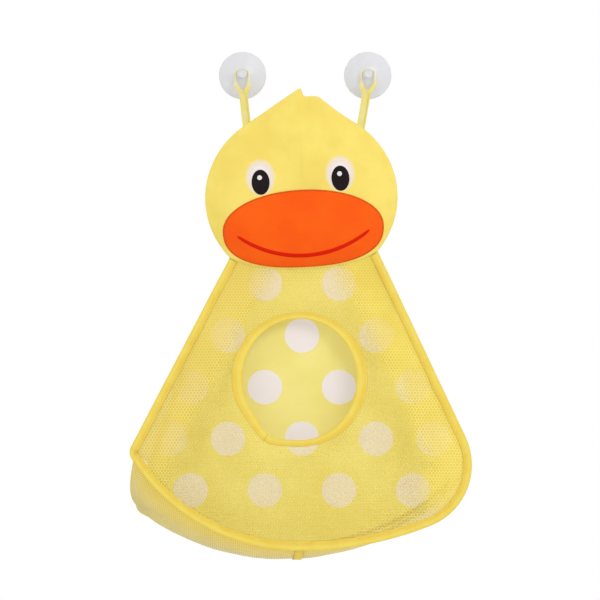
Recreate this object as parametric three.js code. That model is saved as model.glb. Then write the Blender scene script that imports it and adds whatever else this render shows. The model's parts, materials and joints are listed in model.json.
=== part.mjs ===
// Duck-shaped bath toy bag that hangs on a wall by two suction cups.
// Millimetres, +Z up. The wall is the plane y = 0, the bag's front faces -Y,
// and the origin lies on the wall midway between the two cups.
import * as THREE from "three";

const { lerp, smoothstep, degToRad } = THREE.MathUtils;

// Suction cups
const cupSpacing = 119.2;
const cupRadius = 22.5;
const cupRimWidth = 2;
const cupLip = 0.8;
const cupHeight = 11.5;
const cupHollowDepth = 8;
const neckRadius = 2.75;
const neckLength = 6.5;
const knobRadius = 4.5;
const knobLength = 5.3;
const knobRound = 1.2;

// Hanging loops: flat webbing, bunched round where it crosses a cup's neck
const webbingWidth = 6;
const webbingThickness = 1;
const webbingGap = 0.5;
const webbingBevel = 0.2;
const webbingStagger = 1;
const bunchRadius = 1.3;
const loopClearance = 0.3;
const loopArchDrop = 4;
const loopMergeLength = 11;
const loopSeat = { left: -50.5, right: 57.7 };

// Head: an ellipse with a tuft on top, cut off below along the beak's lower edge
const headHalfWidth = 91.2;
const headHalfHeight = 84.7;
const headMiddle = { x: 1.3, z: -121 };
const headTilt = degToRad(2.9);
const headCrown = 12;
const tuftStart = -45;
const tuft = [[3.9, 101.6], [7.9, 94.8], [14.9, 96.1], [22.3, 94.1], [36.2, 81.2]];
const tuftEnd = 51;
const fabric = 0.8;
const layerGap = 0.3;
const paddingInset = 7;

// Face
const beak = { x: 0.3, z: -29.7, halfWidth: 76.1, halfHeight: 36.4, upperPower: 2.05, lowerPower: 2.45 };
const chinSideMargin = 7.2;
const chinMargin = 1.5;
const smile = { halfWidth: 62.5, endDrop: 4.2, sag: 21.2, width: 3 };
const patch = 0.5;
const patchGap = 0.5;
const eye = { spread: 0.4954, overBeak: 13.7, width: 27.4, height: 34 };
const pupil = { drop: 3.6, width: 17, height: 23.8 };
const glint = { shift: 1.5, rise: 4.5, diameter: 5 };
const layers = { patch: 1, trim: 2, glint: 3 };

// Bag: the front net leans forward from the neck, the back hangs flat.
// Each side of a panel runs straight from the neck, round a corner and along the hem.
const bagShift = -4.9;
const wallClearance = 0.6;
const backGap = 0.5;
const frontLean = degToRad(10.3);
const seamGap = 0.4;
const bagHeight = 282;
const backHemExtra = 3;
const hemShift = { front: 0, back: -5.7 };
const backTuck = 20;
const backNeckInset = 2.5;
const frontLeft = { flare: 27, corner: 10, hemRadius: 187 };
const frontRight = { flare: 24.7, corner: 61, hemRadius: 330 };
const backLeft = { flare: 21.3, corner: 12, hemRadius: 310 };
const backRight = { flare: 25, corner: 45, hemRadius: 220 };
const openingRadius = 56;
const opening = { x: 0.6, drop: 122 };

// Edge tapes, folded round the edges of the net and of the back
const tapeWidth = 7.5;
const tapeThickness = 0.9;
const tapeGap = 0.3;
const frontTapeStart = 6;
const backTapeStart = 48;

// Gussets: net walls between front and back
const gussetStart = 54;
const gussetInset = 3;
const sideTuck = 45;
const tuckFoldRadius = 1.6;
const bottomBulge = { left: 17, right: 4 };
const centerTapeWidth = 8;
const centerTapeTrim = 0.08;

// Steps of the meshes
const cupSteps = 24;
const cupRings = 6;
const headSteps = 12;
const headRings = 6;
const beakSteps = 54;
const smileSteps = 18;
const eyeSteps = 18;
const paddingRings = 4;
const patchRings = 4;
const strandSteps = 4;
const archSteps = 8;
const sideSteps = 8;
const cornerSteps = 6;
const hemSteps = 10;
const gussetSteps = 8;
const tuckSteps = { start: 4, end: 16 };
const openingSteps = 40;
const halvings = 50;

const vec2 = (x, y) => new THREE.Vector2(x, y);
const vec3 = (x, y, z) => new THREE.Vector3(x, y, z);
const range = (count, make) => Array.from({ length: count }, (_, i) => make(i));

function piece(name, geometry, color, roughness = 0.9) {
  const mesh = new THREE.Mesh(
    geometry,
    new THREE.MeshStandardMaterial({ color, roughness, metalness: 0 }),
  );
  mesh.name = name;
  return mesh;
}

const yellowFabric = 0xf6de72;
const yellowTape = 0xf3cf4a;
const paleNet = 0xf2e08a;
const clearVinyl = 0xe6e8ea;
const orange = 0xf95f1c;
const darkRed = 0xd8290f;
const white = 0xf6efee;
const black = 0x2b2326;

// A closed mesh from points and triangles, turned so that its faces point out.
function solid(points, triangles) {
  const cross = vec3(0, 0, 0);
  let volume = 0;
  for (const [a, b, c] of triangles) {
    volume += points[a].dot(cross.crossVectors(points[b], points[c]));
  }
  const facing = volume < 0 ? triangles.map(([a, b, c]) => [a, c, b]) : triangles;
  const geometry = new THREE.BufferGeometry().setFromPoints(points);
  geometry.setIndex(facing.flat());
  geometry.computeVertexNormals();
  return geometry;
}

// A solid from sections along a run. A section is two chains of equally many points,
// and the strip between the chains closes each end.
function ladderLoft(sections) {
  const rung = sections[0].outer.length;
  const around = 2 * rung;
  const points = sections.flatMap(({ outer, inner }) => [...outer, ...inner.toReversed()]);
  const triangles = [];
  const quad = (a, b, c, d) => triangles.push([a, b, c], [a, c, d]);
  for (let row = 0; row < points.length - around; row += around) {
    for (let j = 0; j < around; j++) {
      const next = (j + 1) % around;
      quad(row + j, row + next, row + around + next, row + around + j);
    }
  }
  const last = points.length - around;
  for (let j = 0; j + 1 < rung; j++) {
    const across = around - 1 - j;
    quad(j, across, across - 1, j + 1);
    quad(last + j, last + j + 1, last + across - 1, last + across);
  }
  return solid(points, triangles);
}

// A sheet facing -Y: its outline (x, z) shrinks in rings to its middle,
// and two functions of (x, z) give the y of its front and of its back.
function ringSheet(outline, middle, rings, frontY, backY) {
  const count = outline.length;
  const points = [];
  for (const depth of [frontY, backY]) {
    for (let ring = rings; ring > 0; ring--) {
      for (const corner of outline) {
        const at = middle.clone().lerp(corner, ring / rings);
        points.push(vec3(at.x, depth(at), at.y));
      }
    }
    points.push(vec3(middle.x, depth(middle), middle.y));
  }
  const frontTip = rings * count;
  const back = frontTip + 1;
  const backTip = back + frontTip;
  const triangles = [];
  for (let i = 0; i < count; i++) {
    const next = (i + 1) % count;
    for (let ring = 0; ring + 1 < rings; ring++) {
      const outer = ring * count;
      const inner = outer + count;
      triangles.push([outer + i, outer + next, inner + next], [outer + i, inner + next, inner + i]);
      triangles.push([back + outer + i, back + inner + next, back + outer + next]);
      triangles.push([back + outer + i, back + inner + i, back + inner + next]);
    }
    const core = (rings - 1) * count;
    triangles.push([core + i, core + next, frontTip]);
    triangles.push([back + core + i, backTip, back + core + next]);
    triangles.push([i, back + next, next], [i, back + i, back + next]);
  }
  return solid(points, triangles);
}

// A flat sheet from an outline in (x, z), centred on y = 0.
function flatSheet(outline, hole) {
  const shape = new THREE.Shape(outline);
  if (hole) shape.holes.push(new THREE.Path(hole));
  const geometry = new THREE.ExtrudeGeometry(shape, { depth: fabric, bevelEnabled: false });
  return geometry.rotateX(Math.PI / 2).translate(0, fabric / 2, 0);
}

function ellipse(x, z, width, height, steps) {
  return range(steps, (i) => {
    const turn = (2 * Math.PI * i) / steps;
    return vec2(x + (width / 2) * Math.cos(turn), z + (height / 2) * Math.sin(turn));
  });
}

// Suction cups, turned about an axis that points away from the wall
const neckMiddle = cupHeight + neckLength / 2;

function cupGeometry() {
  const hollowRadius = cupRadius - cupRimWidth;
  const hollow = range(cupRings + 1, (i) => {
    const share = i / cupRings;
    return [hollowRadius * share, cupHollowDepth * (1 - share ** 2)];
  });
  const dome = range(cupRings + 1, (i) => {
    const radius = lerp(cupRadius, neckRadius, i / cupRings);
    return [radius, cupLip + (cupHeight - cupLip) * (1 - (radius / cupRadius) ** 2)];
  });
  const knobStart = cupHeight + neckLength;
  const knobEnd = knobStart + knobLength;
  const profile = [
    ...hollow,
    [cupRadius, 0],
    ...dome,
    [neckRadius, knobStart],
    [knobRadius, knobStart],
    [knobRadius, knobEnd - knobRound],
    [knobRadius - knobRound, knobEnd],
    [0, knobEnd],
  ];
  return new THREE.LatheGeometry(profile.map(([r, h]) => vec2(r, h)), cupSteps);
}

const organizer = new THREE.Group();
const cupX = { left: -cupSpacing / 2, right: cupSpacing / 2 };
for (const side of ["left", "right"]) {
  const cup = piece(`${side}_suction_cup`, cupGeometry(), clearVinyl, 0.15);
  cup.position.x = cupX[side];
  cup.rotation.x = Math.PI;
  organizer.add(cup);
}

// Head outline in the head's own frame, counter-clockwise from the right end of the chin
const onHead = (x) => headHalfHeight * Math.sqrt(Math.max(0, 1 - (x / headHalfWidth) ** 2));

function superArc(x, halfWidth, height, power) {
  return height * Math.max(0, 1 - Math.abs(x / halfWidth) ** power) ** (1 / power);
}

function chinZ(x) {
  const drop = beak.halfHeight + chinMargin;
  return beak.z - superArc(x - beak.x, beak.halfWidth + chinSideMargin, drop, beak.lowerPower);
}

// Where the chin line meets the head's ellipse, on the side given by sign
function chinEnd(sign) {
  let inside = 0;
  let outside = beak.halfWidth;
  for (let i = 0; i < halvings; i++) {
    const x = (inside + outside) / 2;
    if (chinZ(sign * x) > -onHead(x)) inside = x;
    else outside = x;
  }
  return vec2(sign * inside, chinZ(sign * inside));
}

const chinRight = chinEnd(1);
const chinLeft = chinEnd(-1);

function ellipseRun(from, to, steps) {
  const turnOf = (p) => Math.atan2(p.y / headHalfHeight, p.x / headHalfWidth);
  const start = turnOf(from);
  const end = turnOf(to) < start ? turnOf(to) + 2 * Math.PI : turnOf(to);
  return range(steps + 1, (i) => {
    const turn = lerp(start, end, i / steps);
    return vec2(headHalfWidth * Math.cos(turn), headHalfHeight * Math.sin(turn));
  });
}

function chinRun(steps) {
  return range(steps - 1, (i) => {
    const x = lerp(chinLeft.x, chinRight.x, (i + 1) / steps);
    return vec2(x, chinZ(x));
  });
}

const chin = [chinLeft, ...chinRun(headSteps), chinRight];
const headOutline = [
  ...ellipseRun(chinRight, vec2(tuftEnd, onHead(tuftEnd)), headSteps),
  ...tuft.toReversed().map(([x, z]) => vec2(x, z)),
  ...ellipseRun(vec2(tuftStart, onHead(tuftStart)), chinLeft, headSteps),
  ...chin.slice(1, -1),
];
const headCenter = vec2(0, 0);

// How far out a point of the head lies, from 0 at its middle to 1 on the outline
function headShare(at) {
  let found = 0;
  let nearest = Infinity;
  headOutline.forEach((a, i) => {
    const edge = headOutline[(i + 1) % headOutline.length].clone().sub(a);
    const share = at.cross(edge) / a.cross(edge);
    const fromMiddle = Math.abs(a.cross(at) / at.cross(edge) - 0.5);
    if (share > 0 && fromMiddle < nearest) {
      found = share;
      nearest = fromMiddle;
    }
  });
  return found;
}

// Depths of the head's layers, from the seam where front and back meet
const puff = (at) => headCrown * (1 - headShare(at) ** 2);
const frontInside = (at) => -layerGap / 2 - puff(at);
const frontOutside = (at) => frontInside(at) - fabric;
const headBackFront = layerGap / 2;
const headBackRear = headBackFront + fabric;
const patchFront = (layer) => (at) => frontOutside(at) - layer * (patch + patchGap);
const patchBack = (layer) => (at) => patchFront(layer)(at) + patch;

function headPatch(name, outline, middle, rings, layer, color) {
  return piece(name, ringSheet(outline, middle, rings, patchFront(layer), patchBack(layer)), color);
}

function beakOutline() {
  return range(beakSteps, (i) => {
    const turn = (2 * Math.PI * (i + 0.5)) / beakSteps;
    const power = 2 / (turn < Math.PI ? beak.upperPower : beak.lowerPower);
    const x = Math.sign(Math.cos(turn)) * Math.abs(Math.cos(turn)) ** power;
    const z = Math.sign(Math.sin(turn)) * Math.abs(Math.sin(turn)) ** power;
    return vec2(beak.x + beak.halfWidth * x, beak.z + beak.halfHeight * z);
  });
}

// The smile is an arc through its two ends and its lowest point.
function smileGeometry() {
  const radius = (smile.halfWidth ** 2 + smile.sag ** 2) / (2 * smile.sag);
  const spread = Math.asin(smile.halfWidth / radius);
  const middle = vec2(beak.x, beak.z - smile.endDrop - smile.sag + radius);
  const sections = range(smileSteps + 1, (i) => {
    const turn = lerp(-spread, spread, i / smileSteps);
    const chain = (depth) => [-0.5, 0.5].map((half) => {
      const reach = radius + half * smile.width;
      const at = vec2(middle.x + reach * Math.sin(turn), middle.y - reach * Math.cos(turn));
      return vec3(at.x, depth(at), at.y);
    });
    return { outer: chain(patchFront(layers.trim)), inner: chain(patchBack(layers.trim)) };
  });
  return ladderLoft(sections);
}

const head = new THREE.Group();
head.position.set(headMiddle.x, 0, headMiddle.z);
head.rotation.y = -headTilt;
head.add(piece(
  "head_front_panel",
  ringSheet(headOutline, headCenter, headRings, frontOutside, frontInside),
  yellowFabric,
));
const paddingShare = 1 - paddingInset / headHalfHeight;
head.add(piece(
  "head_padding",
  ringSheet(
    headOutline.map((p) => p.clone().multiplyScalar(paddingShare)),
    headCenter,
    paddingRings,
    (at) => frontInside(at) + layerGap,
    () => headBackFront - layerGap,
  ),
  white,
));
head.add(piece(
  "head_back_panel",
  ringSheet(headOutline, headCenter, 1, () => headBackFront, () => headBackRear),
  yellowFabric,
));
const beakMiddle = vec2(beak.x, beak.z);
head.add(headPatch("beak_patch", beakOutline(), beakMiddle, patchRings, layers.patch, orange));
head.add(piece("smile_trim", smileGeometry(), darkRed));
for (const [side, sign] of [["left", -1], ["right", 1]]) {
  const x = sign * eye.spread * beak.halfWidth;
  const eyeZ = beak.z + beak.halfHeight + eye.overBeak;
  const pupilZ = eyeZ - pupil.drop;
  const disc = (name, middle, width, height, layer, color) => {
    const outline = ellipse(middle.x, middle.y, width, height, eyeSteps);
    const rings = Math.max(1, patchRings - layer);
    head.add(headPatch(`${side}_${name}`, outline, middle, rings, layer, color));
  };
  const glintMiddle = vec2(x - glint.shift, pupilZ + glint.rise);
  disc("eye_white", vec2(x, eyeZ), eye.width, eye.height, layers.patch, white);
  disc("pupil", vec2(x, pupilZ), pupil.width, pupil.height, layers.trim, black);
  disc("eye_glint", glintMiddle, glint.diameter, glint.diameter, layers.glint, white);
}

// Places on the head, seen in the bag's frame
function headToBag(at) {
  const turned = at.clone().rotateAround(headCenter, headTilt);
  return vec2(turned.x + headMiddle.x, turned.y + headMiddle.z);
}

const headInBag = headOutline.map(headToBag);

function headTop(x) {
  let top = -Infinity;
  for (let i = 0; i < headInBag.length; i++) {
    const a = headInBag[i];
    const b = headInBag[(i + 1) % headInBag.length];
    if ((a.x - x) * (b.x - x) > 0 || a.x === b.x) continue;
    top = Math.max(top, lerp(a.y, b.y, (x - a.x) / (b.x - a.x)));
  }
  return top;
}

// Hanging loops. A loop's eye hangs straight from the neck and is wide enough
// to pass over the knob, then its two strands close and lie one behind the other.
const bunchReach = bunchRadius / Math.cos(Math.PI / 8);
const loopRise = neckRadius + loopClearance + bunchReach;
const eyeHalf = knobRadius + loopClearance + bunchReach;
const knobReach = neckLength / 2 + knobLength;
const eyeLength = Math.hypot(loopRise + knobRadius, knobReach) + bunchReach;

function strandSection(at, across, halfWide, halfThick, bevel) {
  const corner = (u, v) => at.clone().addScaledVector(across, u).add(vec3(0, v, 0));
  const chain = (sign) => [
    corner(-halfWide, sign * (halfThick - bevel)),
    corner(-halfWide + bevel, sign * halfThick),
    corner(halfWide - bevel, sign * halfThick),
    corner(halfWide, sign * (halfThick - bevel)),
  ];
  return { outer: chain(-1), inner: chain(1) };
}

function loopGeometry(side) {
  const topX = cupX[side] - bagShift;
  const bunchBevel = bunchRadius * (1 - Math.tan(Math.PI / 8));
  const mergeEnd = eyeLength + loopMergeLength;
  const seatX = loopSeat[side];
  const seatDrop = -headTop(seatX);
  const shift = (drop) => (seatX - topX) * Math.max(0, (drop - eyeLength) / (seatDrop - eyeLength));
  const strand = (sign) => {
    const drops = [
      ...range(strandSteps, (i) => lerp(loopArchDrop, eyeLength, i / strandSteps)),
      ...range(strandSteps, (i) => lerp(eyeLength, mergeEnd, i / strandSteps)),
      mergeEnd,
      seatDrop,
    ];
    return drops.map((drop) => {
      const merged = smoothstep(drop, eyeLength, mergeEnd);
      const x = topX + shift(drop) + sign * lerp(eyeHalf, webbingStagger, merged);
      const flat = smoothstep(drop, eyeLength - loopMergeLength / 2, mergeEnd - loopMergeLength / 2);
      const apart = sign * ((webbingThickness + webbingGap) / 2) * flat;
      const section = strandSection(
        vec3(x, apart, -drop),
        vec3(1, 0, 0),
        lerp(bunchRadius, webbingWidth / 2, flat),
        lerp(bunchRadius, webbingThickness / 2, flat),
        lerp(bunchBevel, webbingBevel, flat),
      );
      if (drop === seatDrop) {
        for (const p of [...section.outer, ...section.inner]) p.z = headTop(p.x) + loopClearance;
      }
      return section;
    });
  };
  const arch = range(archSteps - 1, (i) => {
    const turn = (Math.PI * (i + 1)) / archSteps;
    const out = vec3(-Math.cos(turn), 0, Math.sin(turn));
    const at = vec3(topX + eyeHalf * out.x, 0, loopArchDrop * (out.z - 1));
    const across = vec3(out.x / eyeHalf, 0, out.z / loopArchDrop).normalize().negate();
    return strandSection(at, across, bunchRadius, bunchRadius, bunchBevel);
  });
  const turnOver = ({ outer, inner }) => ({ outer: outer.toReversed(), inner: inner.toReversed() });
  return ladderLoft([...strand(-1).toReversed(), ...arch, ...strand(1).map(turnOver)]);
}

const bag = new THREE.Group();
for (const side of ["left", "right"]) {
  bag.add(piece(`${side}_hanging_loop`, loopGeometry(side), yellowTape));
}
bag.add(head);

// Panel outlines in (x, z), with z = 0 at the neck, where the net is sewn to the head.
const neckEnds = { left: headToBag(chinLeft), right: headToBag(chinRight) };
const neckZ = Math.max(neckEnds.left.y, neckEnds.right.y);

// One half of a panel's edge, from its start to the bottom: side, corner and hem
function halfEdge(sign, start, { flare, corner, hemRadius }, hem) {
  const lean = degToRad(flare);
  const from = vec2(sign * (start.x - hem.x), start.y);
  const along = vec2(Math.sin(lean), -Math.cos(lean));
  const inward = vec2(along.y, -along.x);
  const hemMiddle = vec2(0, hemRadius - hem.drop);
  const base = from.clone().addScaledVector(inward, corner).sub(hemMiddle);
  const half = base.dot(along);
  const run = -half + Math.sqrt(half ** 2 - base.lengthSq() + (hemRadius - corner) ** 2);
  const cornerMiddle = base.clone().addScaledVector(along, run).add(hemMiddle);
  const turnOf = (v) => Math.atan2(v.y, v.x);
  const turnStart = turnOf(inward.clone().negate());
  const turnEnd = turnOf(cornerMiddle.clone().sub(hemMiddle));
  const arc = (middle, radius, a, b, t) => {
    const turn = lerp(a, b, t);
    return vec2(middle.x + radius * Math.cos(turn), middle.y + radius * Math.sin(turn));
  };
  const edge = [
    ...range(sideSteps, (i) => from.clone().addScaledVector(along, (run * i) / sideSteps)),
    ...range(cornerSteps, (i) => arc(cornerMiddle, corner, turnStart, turnEnd, i / cornerSteps)),
    ...range(hemSteps + 1, (i) => arc(hemMiddle, hemRadius, turnEnd, -Math.PI / 2, i / hemSteps)),
  ];
  return edge.map((p) => vec2(sign * p.x + hem.x, p.y));
}

// A panel's whole edge below a given drop, from the left side round to the right,
// with the direction that points into the panel at each point
function panelEdge(panel, drops) {
  const half = (side, sign) => {
    const { start, shape } = panel[side];
    const drop = drops[side];
    const reach = (start.y + drop) * Math.tan(degToRad(shape.flare));
    return halfEdge(sign, vec2(start.x + sign * reach, -drop), shape, panel.hem);
  };
  const run = [...half("left", -1), ...half("right", 1).toReversed().slice(1)];
  return run.map((at, i) => {
    const before = run[Math.max(0, i - 1)];
    const after = run[Math.min(run.length - 1, i + 1)];
    const along = after.clone().sub(before).normalize();
    return { at, inward: vec2(-along.y, along.x) };
  });
}

const evenly = (drop) => ({ left: drop, right: drop });
const onFront = (at) => vec2(at.x, (at.y - neckZ) / Math.cos(frontLean) - seamGap);
const frontStart = { left: onFront(neckEnds.left), right: onFront(neckEnds.right) };
const front = {
  left: { start: frontStart.left, shape: frontLeft },
  right: { start: frontStart.right, shape: frontRight },
  hem: { x: hemShift.front, drop: bagHeight },
};
const back = {
  left: { start: vec2(neckEnds.left.x + backNeckInset, 0), shape: backLeft },
  right: { start: vec2(neckEnds.right.x - backNeckInset, 0), shape: backRight },
  hem: { x: hemShift.back, drop: bagHeight + backHemExtra },
};

// Tape folded round an edge, with the sheet between its two flaps
const tapeInside = fabric / 2 + tapeGap;
const tapeHalf = tapeInside + tapeThickness;

function edgeTape(edge) {
  return ladderLoft(edge.map(({ at, inward }) => {
    const corner = (u, y) => vec3(at.x + u * inward.x, y, at.y + u * inward.y);
    const fold = (u, y) => [corner(tapeWidth, -y), corner(u, -y), corner(u, y), corner(tapeWidth, y)];
    return {
      outer: fold(-tapeGap - tapeThickness, tapeHalf),
      inner: fold(-tapeGap, tapeInside),
    };
  }));
}

function openingTape() {
  const web = openingRadius + tapeThickness;
  const edge = web + tapeWidth;
  const profile = [
    [openingRadius, -tapeHalf],
    [edge, -tapeHalf],
    [edge, -tapeInside],
    [web, -tapeInside],
    [web, tapeInside],
    [edge, tapeInside],
    [edge, tapeHalf],
    [openingRadius, tapeHalf],
    [openingRadius, -tapeHalf],
  ];
  return new THREE.LatheGeometry(profile.map(([r, y]) => vec2(r, y)), openingSteps);
}

// Front: net, opening and edge tape in one group that folds about the neck
const frontPanel = new THREE.Group();
frontPanel.position.z = neckZ;
frontPanel.rotation.x = -frontLean;
const frontEdge = panelEdge(front, { left: -frontStart.left.y, right: -frontStart.right.y });
const netTop = chin.slice(1, -1).map((at) => onFront(headToBag(at))).toReversed();
const holeRadius = openingRadius + tapeThickness + tapeGap;
frontPanel.add(piece(
  "front_mesh_panel",
  flatSheet(
    [...frontEdge.map(({ at }) => at), ...netTop],
    ellipse(opening.x, -opening.drop, 2 * holeRadius, 2 * holeRadius, openingSteps),
  ),
  yellowFabric,
));
const ring = piece("opening_binding", openingTape(), yellowTape);
ring.position.set(opening.x, 0, -opening.drop);
frontPanel.add(ring);
const frontTapeDrops = {
  left: frontTapeStart - frontStart.left.y,
  right: frontTapeStart - frontStart.right.y,
};
frontPanel.add(piece("front_edge_binding", edgeTape(panelEdge(front, frontTapeDrops)), yellowTape));
bag.add(frontPanel);

// Back: a flat sheet behind the head, with its own edge tape
const backMiddle = headBackRear + backGap + fabric / 2;
const backPanel = new THREE.Group();
backPanel.position.set(0, backMiddle, neckZ);
const backOutline = panelEdge(back, evenly(-backTuck)).map(({ at }) => at);
backPanel.add(piece("back_panel", flatSheet(backOutline), yellowFabric));
backPanel.add(piece("back_edge_binding", edgeTape(panelEdge(back, evenly(backTapeStart))), yellowTape));
bag.add(backPanel);

// Gussets, sewn to the insides of the two edge tapes. A section bows from front to back:
// into the bag along the sides, where it is tucked, and out of it along the bottom.
frontPanel.updateMatrix();
backPanel.updateMatrix();
const gussetSeat = tapeHalf + tapeGap + fabric / 2;
const bottom = sideSteps + cornerSteps + hemSteps;

function seats(panel, group, y) {
  return panelEdge(panel, evenly(gussetStart)).map(({ at, inward }) => {
    const seat = at.clone().addScaledVector(inward, gussetInset);
    return { seat: vec3(seat.x, y, seat.y).applyMatrix4(group.matrix), inward };
  });
}

const frontSeats = seats(front, frontPanel, gussetSeat);
const backSeats = seats(back, backPanel, -gussetSeat);

// The bowed line of station i, as a function that gives its point and outward direction
function gussetBow(i) {
  const from = frontSeats[i].seat;
  const span = backSeats[i].seat.clone().sub(from);
  const depth = span.length();
  const across = span.clone().divideScalar(depth);
  const inward = frontSeats[i].inward.clone().add(backSeats[i].inward).normalize();
  const rise = vec3(inward.x, 0, inward.y);
  const square = rise.clone().addScaledVector(across, -rise.dot(across)).normalize();
  const tuck = Math.min(sideTuck, depth ** 2 / (Math.PI ** 2 * tuckFoldRadius));
  const fromTop = Math.min(i, 2 * bottom - i);
  const turned = smoothstep(fromTop, tuckSteps.start, tuckSteps.end);
  const onHem = smoothstep(i, bottom - hemSteps, bottom + hemSteps);
  const bulge = lerp(bottomBulge.left, bottomBulge.right, onHem);
  const bow = lerp(tuck, -bulge, turned);
  return (v) => {
    const at = from.clone().addScaledVector(span, v).addScaledVector(rise, bow * Math.sin(Math.PI * v));
    const along = span.clone().addScaledVector(rise, bow * Math.PI * Math.cos(Math.PI * v));
    const out = across.clone().multiplyScalar(along.dot(square));
    out.addScaledVector(square, -along.dot(across)).normalize();
    return { at, out };
  };
}

function bowChain(bow, offset, shift, from = 0, to = 1) {
  return range(gussetSteps + 1, (j) => {
    const { at, out } = bow(lerp(from, to, j / gussetSteps));
    return at.addScaledVector(out, offset).add(vec3(shift, 0, 0));
  });
}

for (const [side, first, sign] of [["left", 0, -1], ["right", bottom, 1]]) {
  const sections = range(bottom + 1, (i) => {
    const station = first + i;
    const shift = station === bottom ? (sign * seamGap) / 2 : 0;
    const bow = gussetBow(station);
    return { outer: bowChain(bow, fabric / 2, shift), inner: bowChain(bow, -fabric / 2, shift) };
  });
  bag.add(piece(`${side}_gusset`, ladderLoft(sections), paleNet));
}

// Tape over the seam between the two gussets, at the bottom
const seamBow = gussetBow(bottom);
const tapeBelow = fabric / 2 + tapeGap;
bag.add(piece(
  "gusset_center_tape",
  ladderLoft([-0.5, 0.5].map((half) => {
    const chain = (offset) => bowChain(
      seamBow,
      offset,
      half * centerTapeWidth,
      centerTapeTrim,
      1 - centerTapeTrim,
    );
    return { outer: chain(tapeBelow + tapeThickness), inner: chain(tapeBelow) };
  })),
  yellowTape,
));

// The bag hangs from the cups' necks and leans back until its hem is close to the wall.
const hemDepth = back.hem.drop - neckZ;
const backReach = neckMiddle - backMiddle - tapeHalf - wallClearance;
bag.position.set(bagShift, -neckMiddle, loopRise);
bag.rotation.x = Math.asin(backReach / hemDepth);
organizer.add(bag);

export default organizer;
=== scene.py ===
import json
import math

import bpy
import numpy as np
from mathutils import Matrix, Vector, noise
from mathutils.bvhtree import BVHTree
from mathutils.geometry import delaunay_2d_cdt


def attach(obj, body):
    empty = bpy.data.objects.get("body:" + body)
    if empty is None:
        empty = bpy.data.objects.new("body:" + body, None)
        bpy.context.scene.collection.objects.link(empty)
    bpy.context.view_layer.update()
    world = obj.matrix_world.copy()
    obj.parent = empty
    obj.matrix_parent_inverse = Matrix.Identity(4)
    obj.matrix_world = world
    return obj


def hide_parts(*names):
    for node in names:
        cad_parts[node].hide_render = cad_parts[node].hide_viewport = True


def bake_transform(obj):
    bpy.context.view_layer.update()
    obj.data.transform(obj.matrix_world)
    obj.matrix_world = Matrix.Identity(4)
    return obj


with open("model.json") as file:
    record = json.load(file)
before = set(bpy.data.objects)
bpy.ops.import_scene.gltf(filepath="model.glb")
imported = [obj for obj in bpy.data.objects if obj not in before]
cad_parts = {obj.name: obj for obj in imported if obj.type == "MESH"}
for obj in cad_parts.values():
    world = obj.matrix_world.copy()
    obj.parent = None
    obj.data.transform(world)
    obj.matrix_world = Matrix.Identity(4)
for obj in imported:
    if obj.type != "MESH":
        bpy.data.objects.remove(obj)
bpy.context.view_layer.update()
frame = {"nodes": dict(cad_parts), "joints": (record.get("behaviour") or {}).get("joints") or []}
mm = 0.001  # shapes are worked out in millimetres, meshes hold metres
bothSides = (("left", -1), ("right", 1))


# Places of the bag, its head, its front and its back, as the CAD has them

def jointPlace(name):
    return Vector(next(joint["pos_m"] for joint in frame["joints"] if joint["name"] == name))


def leanOf(node):  # how far a flat CAD sheet leans about X
    faces = [face for face in frame["nodes"][node].data.polygons if face.normal.y > 0.9]
    normal = sum((face.normal * face.area for face in faces), Vector())
    return math.atan2(normal.z, normal.y)


def shifted(x, y, z):
    return Matrix.Translation(Vector((x, y, z)) * mm)


headShape = {
    "middle": (1.3, -121.0),
    "tilt": 2.9,
    "halfWidth": 91.2,
    "halfHeight": 84.7,
    "tuft": [
        (-1.5, 100.6), (2.6, 102.9), (4.4, 103.2), (5.6, 100.4), (6.6, 96.4), (8.6, 94.9), (13.5, 95.4),
        (19.5, 94.9), (23.5, 92.4), (36.2, 81.2),
    ],
    "tuftFrom": -45.0,
    "tuftTo": 51.0,
    "rounding": 300,
    "seam": 0.95,
    "seamRound": 0.02,
    "crown": 10.6,
    "crownPowers": (2.3, 0.9),
    "backSwell": 2.5,
    "backSwellAbove": (-30.0, 5.0),
    "lump": (0.5, 38.0),  # height and size
    "pucker": 0.3,
    "puckerSizes": (7.0, 3.4),
    "puckerFine": 0.6,
    "puckerBack": 0.4,
    "puckerPower": 14,
}
headFilling = {
    "pressure": 4.0,
    "frames": 20,
    "slack": 0.02,
    "quality": 6,
    "mass": 0.2,
    "stiffness": 20.0,
    "bending": 0.3,
    "most": 2.4,
    "evened": 8,
    "evenShares": (0.4, 0.4, 0.2),  # of a move itself, of those beside it, and of those in the next rings
    "middleRings": 8,
}
beakShape = {
    "middle": (0.3, -29.7),
    "halfWidth": 76.1,
    "halfHeight": 36.4,
    "upperPower": 2.05,
    "lowerPower": 2.45,
    "chinSide": 7.2,
    "chinDrop": 1.5,
    "height": 1.1,
    "puff": 2.2,
}

bagPlace = Matrix.Translation(jointPlace("bag_swing")) @ Matrix.Rotation(leanOf("back_panel"), 4, "X")
frontPlace = (
    Matrix.Translation(jointPlace("front_panel_fold"))
    @ Matrix.Rotation(leanOf("front_mesh_panel"), 4, "X")
)
headPlace = (
    bagPlace
    @ shifted(headShape["middle"][0], 0, headShape["middle"][1])
    @ Matrix.Rotation(-math.radians(headShape["tilt"]), 4, "Y")
)
frontInBag = bagPlace.inverted() @ frontPlace
frontLean = -frontInBag.to_euler().x
neckZ = frontInBag.translation.z / mm


def placed(place, points):
    matrix = np.array(place)
    return np.asarray(points, float) * mm @ matrix[:3, :3].T + matrix[:3, 3]


def seenFrom(place, points):  # places in metres, in the millimetres of a place's own frame
    matrix = np.array(place.inverted())
    return (np.asarray(points) @ matrix[:3, :3].T + matrix[:3, 3]) / mm


def smooth(value, low, high):
    share = np.clip((value - low) / (high - low), 0, 1)
    return share * share * (3 - 2 * share)


def lerp(a, b, share):
    return a + (b - a) * share


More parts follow.
